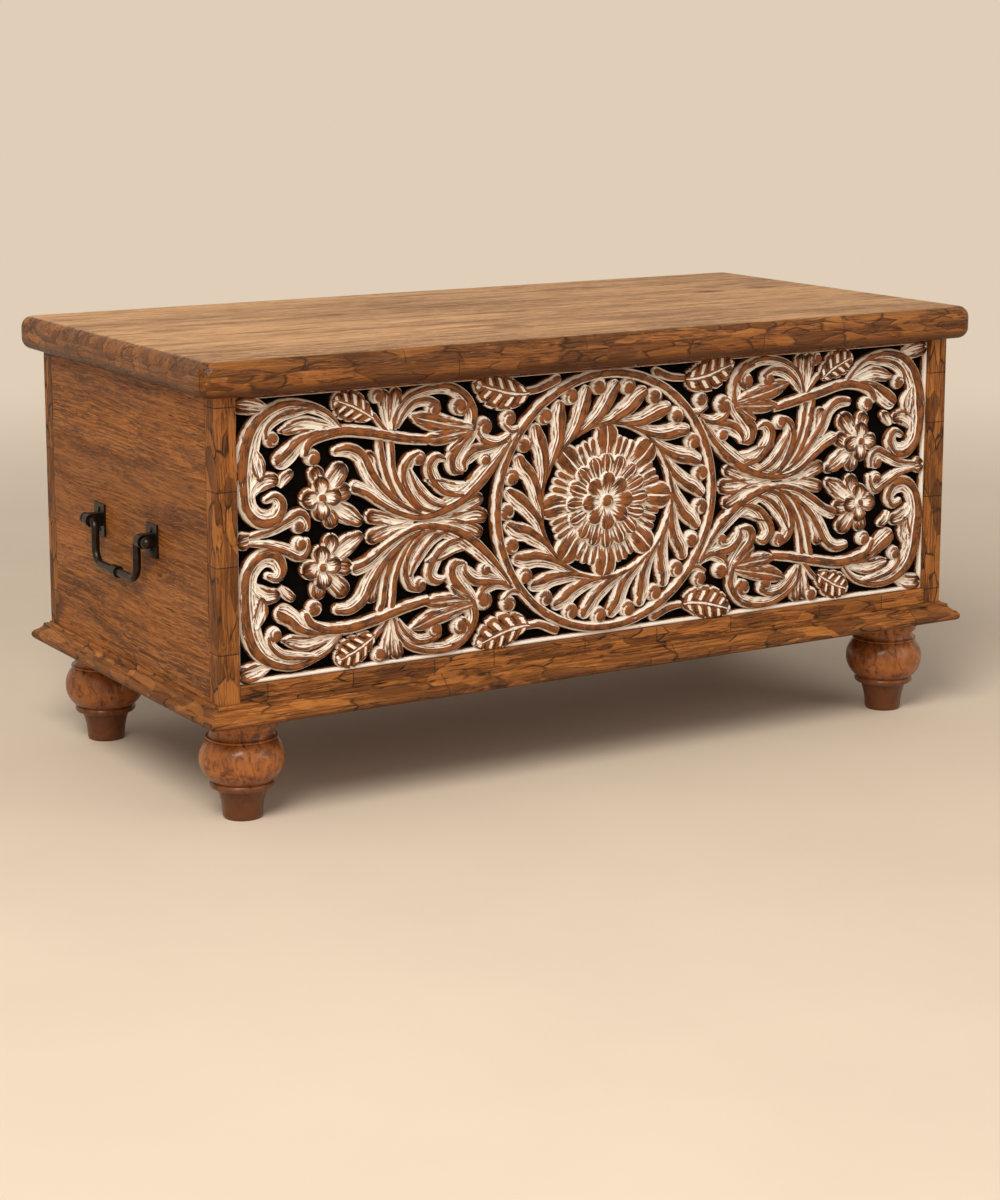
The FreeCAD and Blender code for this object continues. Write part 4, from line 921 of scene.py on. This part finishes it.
class PanelFit:
    """Moves drawn places onto the real panel, in millimetres from its middle."""

    def __init__(self):
        low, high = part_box("carved_front_panel")
        self.half_x = high.x * 1000
        self.half_z = (high.z - low.z) * 500
        self.ring = self.half_z - RING_INSET
        self.scale = self.ring / DRAWN_RING
        self.stretch = (self.half_x - self.ring) / (DRAWN_ACROSS - DRAWN_RING)

    def spot(self, across, down, side, end):
        out = DRAWN_ACROSS - across
        x = out * self.scale if out < DRAWN_RING else self.ring + (out - DRAWN_RING) * self.stretch
        return side * x, end * (DRAWN_DOWN - down) * self.scale

    def line(self, points, side, end):
        return [(*self.spot(across, down, side, end), width * self.scale) for across, down, width in points]


def carve_scrolls(side, material):
    """The scrolling leaves, flowers and curls of one half of the panel."""
    fit = PanelFit()
    carver = Carver(SCROLL_SEED + side)
    for kind, points in AXIS_STROKES:
        carver.stroke(kind, fit.line(points, side, 1))
    for end in (1, -1):
        for kind, points in QUARTER_STROKES:
            carver.stroke(kind, fit.line(points, side, end))
        for points in VEINED_LEAVES:
            carver.veined_leaf(fit.line(points, side, end))
        for across, down, radius in CURLS:
            carver.ball(*fit.spot(across, down, side, end), radius * fit.scale, side * end)
        flower = fit.spot(*FLOWER_CENTRE, side, end)
        carver.rosette(flower, FLOWER_RINGS)
        carver.ball(*flower, FLOWER_HEART, 1, raise_by=HEART_RAISE)
    carver.piece("carved_scrolls_left" if side < 0 else "carved_scrolls_right", material)


def carve_medallion(material):
    """The ring, the wreath, the rosette and the panel's border."""
    fit = PanelFit()
    carver = Carver(MEDALLION_SEED)
    carver.hoop("stem", fit.ring - RING_WIDTH / 2, RING_WIDTH, raise_by=RING_RAISE)
    carver.hoop("stem", *INNER_RING)
    for leaf in range(WREATH_LEAVES):
        turn = 90 + 360 / WREATH_LEAVES * leaf
        points = [(*polar(radius, turn + behind), width) for radius, behind, width in WREATH_LEAF]
        carver.stroke("leaf", points)
        radius, behind, size = WREATH_BALL
        carver.ball(*polar(radius, turn + behind), size, -1)
    carver.rosette((0, 0), ROSETTE_RINGS)
    carver.ball(0, 0, ROSETTE_HEART, 1, raise_by=HEART_RAISE)
    x = fit.half_x - BORDER_INSET
    z = fit.half_z - BORDER_INSET
    corners = [(-x, -z, BORDER_WIDTH), (x, -z, BORDER_WIDTH), (x, z, BORDER_WIDTH), (-x, z, BORDER_WIDTH)]
    for number, kind in enumerate(("border", "border", "stem", "border")):
        carver.stroke(kind, [corners[number], corners[(number + 1) % 4]])
    carver.piece("carved_medallion", material)


# Operators, one for each group of like pieces
class TrunkLid(bpy.types.Operator):
    """Finish the lid's planks, rim strips and battens"""
    bl_idname = "trunk.lid"
    bl_label = "Lid"

    def execute(self, context):
        dress(matching("lid_plank"), lid_wood("lid_plank_wood", "X"))
        dress(["lid_rim_front", "lid_rim_back"], lid_wood("lid_long_rim_wood", "X"))
        dress(["lid_rim_left", "lid_rim_right"], lid_wood("lid_end_rim_wood", "Y", 0.07))
        dress(matching("lid_batten"), board_wood("batten_wood", "Y"), context.scene.trunk_wood.edge_wear)
        return {"FINISHED"}


class TrunkCarcass(bpy.types.Operator):
    """Finish the posts, rails, boards, floor and base mouldings"""
    bl_idname = "trunk.carcass"
    bl_label = "Carcass"

    def execute(self, context):
        wear = context.scene.trunk_wood.edge_wear
        lengthwise = board_wood("long_board_wood", "X")
        crosswise = board_wood("end_board_wood", "Y")
        dress(matching("_post"), pieced_wood("post_wood", "Z", 0.09), wear)
        dress(["front_bottom_rail"], pieced_wood("front_rail_wood", "X", 0.1), wear)
        dress(["front_top_rail", "back_top_rail", *matching("back_board", "floor")], lengthwise, wear)
        dress(["front_base_moulding", "back_base_moulding"], pieced_wood("long_moulding_wood", "X", 0.3))
        dress(["left_base_moulding", "right_base_moulding"], pieced_wood("end_moulding_wood", "Y", 0.3))
        dress(matching("side_board"), crosswise, wear)
        dress(["foot_blocks"], crosswise, wear)
        return {"FINISHED"}


class TrunkCarving(bpy.types.Operator):
    """Carve the front panel and blacken the board behind it, whose black also stands in for the shade in the
    piercings
    """
    bl_idname = "trunk.carving"
    bl_label = "Carved front"

    def execute(self, context):
        material = washed_carving("washed_carving")
        carve_scrolls(-1, material)
        carve_scrolls(1, material)
        carve_medallion(material)
        dress(["front_backing_board"], black_board("black_backing_and_gap_shade"))
        return {"FINISHED"}


class TrunkFeet(bpy.types.Operator):
    """Polish the turned feet"""
    bl_idname = "trunk.feet"
    bl_label = "Feet"

    def execute(self, context):
        dress(matching("left_foot", "right_foot"), foot_wood("turned_wood"))
        return {"FINISHED"}


class TrunkIron(bpy.types.Operator):
    """Finish the handles, hinges, screws and bolts"""
    bl_idname = "trunk.iron"
    bl_label = "Iron"

    def execute(self, context):
        dress(matching("_handle_"), blackened_iron("blackened_iron"))
        dress([*matching("hinge"), "foot_bolts"], dull_steel("dull_steel"))
        return {"FINISHED"}


# Stage: floor, lamps and the photograph's camera
CAMERA_PLACE = (-1.616, -2.652, 0.842)
CAMERA_YAW = 31.3
CAMERA_PITCH = 10.15
CAMERA_SHIFT = -0.095
FOCAL_PIXELS = 2680
FRAME_PIXELS = 1200
SENSOR = 36.0
FLOOR_REACH = 40.0
FLOOR_FADE = (1.0, 3.2)
FLOOR_MOTTLE = 0.96
SKY_TINT = (1.0, 0.97, 0.93)
KEY_LAMP = {"size": 2.0, "place": (-2.1, -2.0, 2.9), "target": (0, 0, 0.3), "tint": (1.0, 0.96, 0.9)}
FILL_LAMP = {"size": 2.6, "place": (1.8, -3.2, 1.6), "target": (0, 0, 0.25), "tint": (1.0, 0.98, 0.95)}


class TrunkStage(bpy.types.Operator):
    """Set a pale floor, soft light and the camera"""
    bl_idname = "trunk.stage"
    bl_label = "Stage"

    def looked_at(self, tree):
        """1 where the camera, a reflection or a look through glass meets the background."""
        path = tree.nodes.new("ShaderNodeLightPath")
        seen = path.outputs["Is Camera Ray"]
        for ray in ("Is Glossy Ray", "Is Transmission Ray"):
            either = tree.nodes.new("ShaderNodeMath")
            either.operation = "MAXIMUM"
            tree.links.new(seen, either.inputs[0])
            tree.links.new(path.outputs[ray], either.inputs[1])
            seen = either.outputs[0]
        return seen

    def floor(self, settings):
        """Pale floor that runs out into the even background far from the trunk."""
        reach = FLOOR_REACH
        mesh = bpy.data.meshes.new("floor")
        corners = [(-reach, -reach, 0), (reach, -reach, 0), (reach, reach, 0), (-reach, reach, 0)]
        mesh.from_pydata(corners, [], [(0, 1, 2, 3)])
        finish = Finish("pale_floor")
        spot = finish.add("ShaderNodeTexCoord").outputs["Object"]
        mottle = finish.span(finish.cloud(spot, 3.0, 5.0), 0.3, 0.7)
        shade = finish.mix(mottle, settings.floor, [part * FLOOR_MOTTLE for part in settings.floor])
        distance = finish.add("ShaderNodeVectorMath", {0: spot}, operation="LENGTH").outputs["Value"]
        far = finish.times(finish.span(distance, *FLOOR_FADE), self.looked_at(finish.tree))
        plain = finish.add("ShaderNodeEmission", {"Color": settings.floor})
        both = finish.add("ShaderNodeMixShader", {0: far, 1: finish.shader.outputs[0], 2: plain.outputs[0]})
        finish.join(both.outputs[0], finish.output.inputs["Surface"])
        mesh.materials.append(finish.paint(shade, 0.8))
        floor = bpy.data.objects.new("floor", mesh)
        bpy.context.scene.collection.objects.link(floor)

    def sky(self, settings):
        """Even light from all round; the floor's colour where it is seen."""
        world = bpy.data.worlds.new("studio")
        bpy.context.scene.world = world
        world.use_nodes = True
        tree = world.node_tree
        tree.nodes.clear()
        light = tree.nodes.new("ShaderNodeBackground")
        light.inputs[0].default_value = (*SKY_TINT, 1)
        light.inputs[1].default_value = settings.sky
        view = tree.nodes.new("ShaderNodeBackground")
        view.inputs[0].default_value = (*settings.floor, 1)
        mix = tree.nodes.new("ShaderNodeMixShader")
        tree.links.new(self.looked_at(tree), mix.inputs[0])
        tree.links.new(light.outputs[0], mix.inputs[1])
        tree.links.new(view.outputs[0], mix.inputs[2])
        output = tree.nodes.new("ShaderNodeOutputWorld")
        tree.links.new(mix.outputs[0], output.inputs[0])

    def lamp(self, name, power, size, place, target, tint):
        light = bpy.data.lights.new(name, "AREA")
        light.shape = "DISK"
        light.energy = power
        light.size = size
        light.color = tint
        thing = bpy.data.objects.new(name, light)
        bpy.context.scene.collection.objects.link(thing)
        thing.location = place
        thing.rotation_euler = (Vector(target) - Vector(place)).to_track_quat("-Z", "Y").to_euler()

    def camera(self):
        lens = bpy.data.cameras.new("photo_camera")
        lens.sensor_width = SENSOR
        lens.lens = FOCAL_PIXELS * SENSOR / FRAME_PIXELS
        lens.shift_y = CAMERA_SHIFT
        thing = bpy.data.objects.new("photo_camera", lens)
        bpy.context.scene.collection.objects.link(thing)
        thing.location = CAMERA_PLACE
        thing.rotation_euler = (math.radians(90 - CAMERA_PITCH), 0, math.radians(-CAMERA_YAW))
        bpy.context.scene.camera = thing

    def execute(self, context):
        settings = context.scene.trunk_stage
        self.floor(settings)
        self.sky(settings)
        self.lamp("key_lamp", settings.key_power, **KEY_LAMP)
        self.lamp("fill_lamp", settings.fill_power, **FILL_LAMP)
        self.camera()
        context.scene.view_settings.view_transform = "Standard"
        return {"FINISHED"}


class TrunkPanel(bpy.types.Panel):
    """Lists the trunk's settings and steps."""
    bl_idname = "VIEW3D_PT_trunk"
    bl_label = "Carved trunk"
    bl_space_type = "VIEW_3D"
    bl_region_type = "UI"
    bl_category = "Trunk"

    def draw(self, context):
        scene = context.scene
        for group in (scene.trunk_wood, scene.trunk_carving, scene.trunk_stage):
            box = self.layout.box()
            for name in group.bl_rna.properties.keys():
                if name not in ("rna_type", "name"):
                    box.prop(group, name)
        for step in STEPS:
            self.layout.operator(step.bl_idname)


STEPS = (TrunkLid, TrunkCarcass, TrunkCarving, TrunkFeet, TrunkIron, TrunkStage)
SETTINGS = {
    "trunk_wood": TrunkWoodSettings,
    "trunk_carving": TrunkCarvingSettings,
    "trunk_stage": TrunkStageSettings,
}
CLASSES = (*SETTINGS.values(), *STEPS, TrunkPanel)


def register():
    for item in CLASSES:
        bpy.utils.register_class(item)
    for name, group in SETTINGS.items():
        setattr(bpy.types.Scene, name, PointerProperty(type=group))


def unregister():
    for name in SETTINGS:
        delattr(bpy.types.Scene, name)
    for item in reversed(CLASSES):
        bpy.utils.unregister_class(item)


def main():
    register()
    bpy.ops.trunk.lid()
    bpy.ops.trunk.carcass()
    bpy.ops.trunk.carving()
    bpy.ops.trunk.feet()
    bpy.ops.trunk.iron()
    bpy.ops.trunk.stage()
    bpy.context.view_layer.update()


if __name__ == "__main__":
    main()
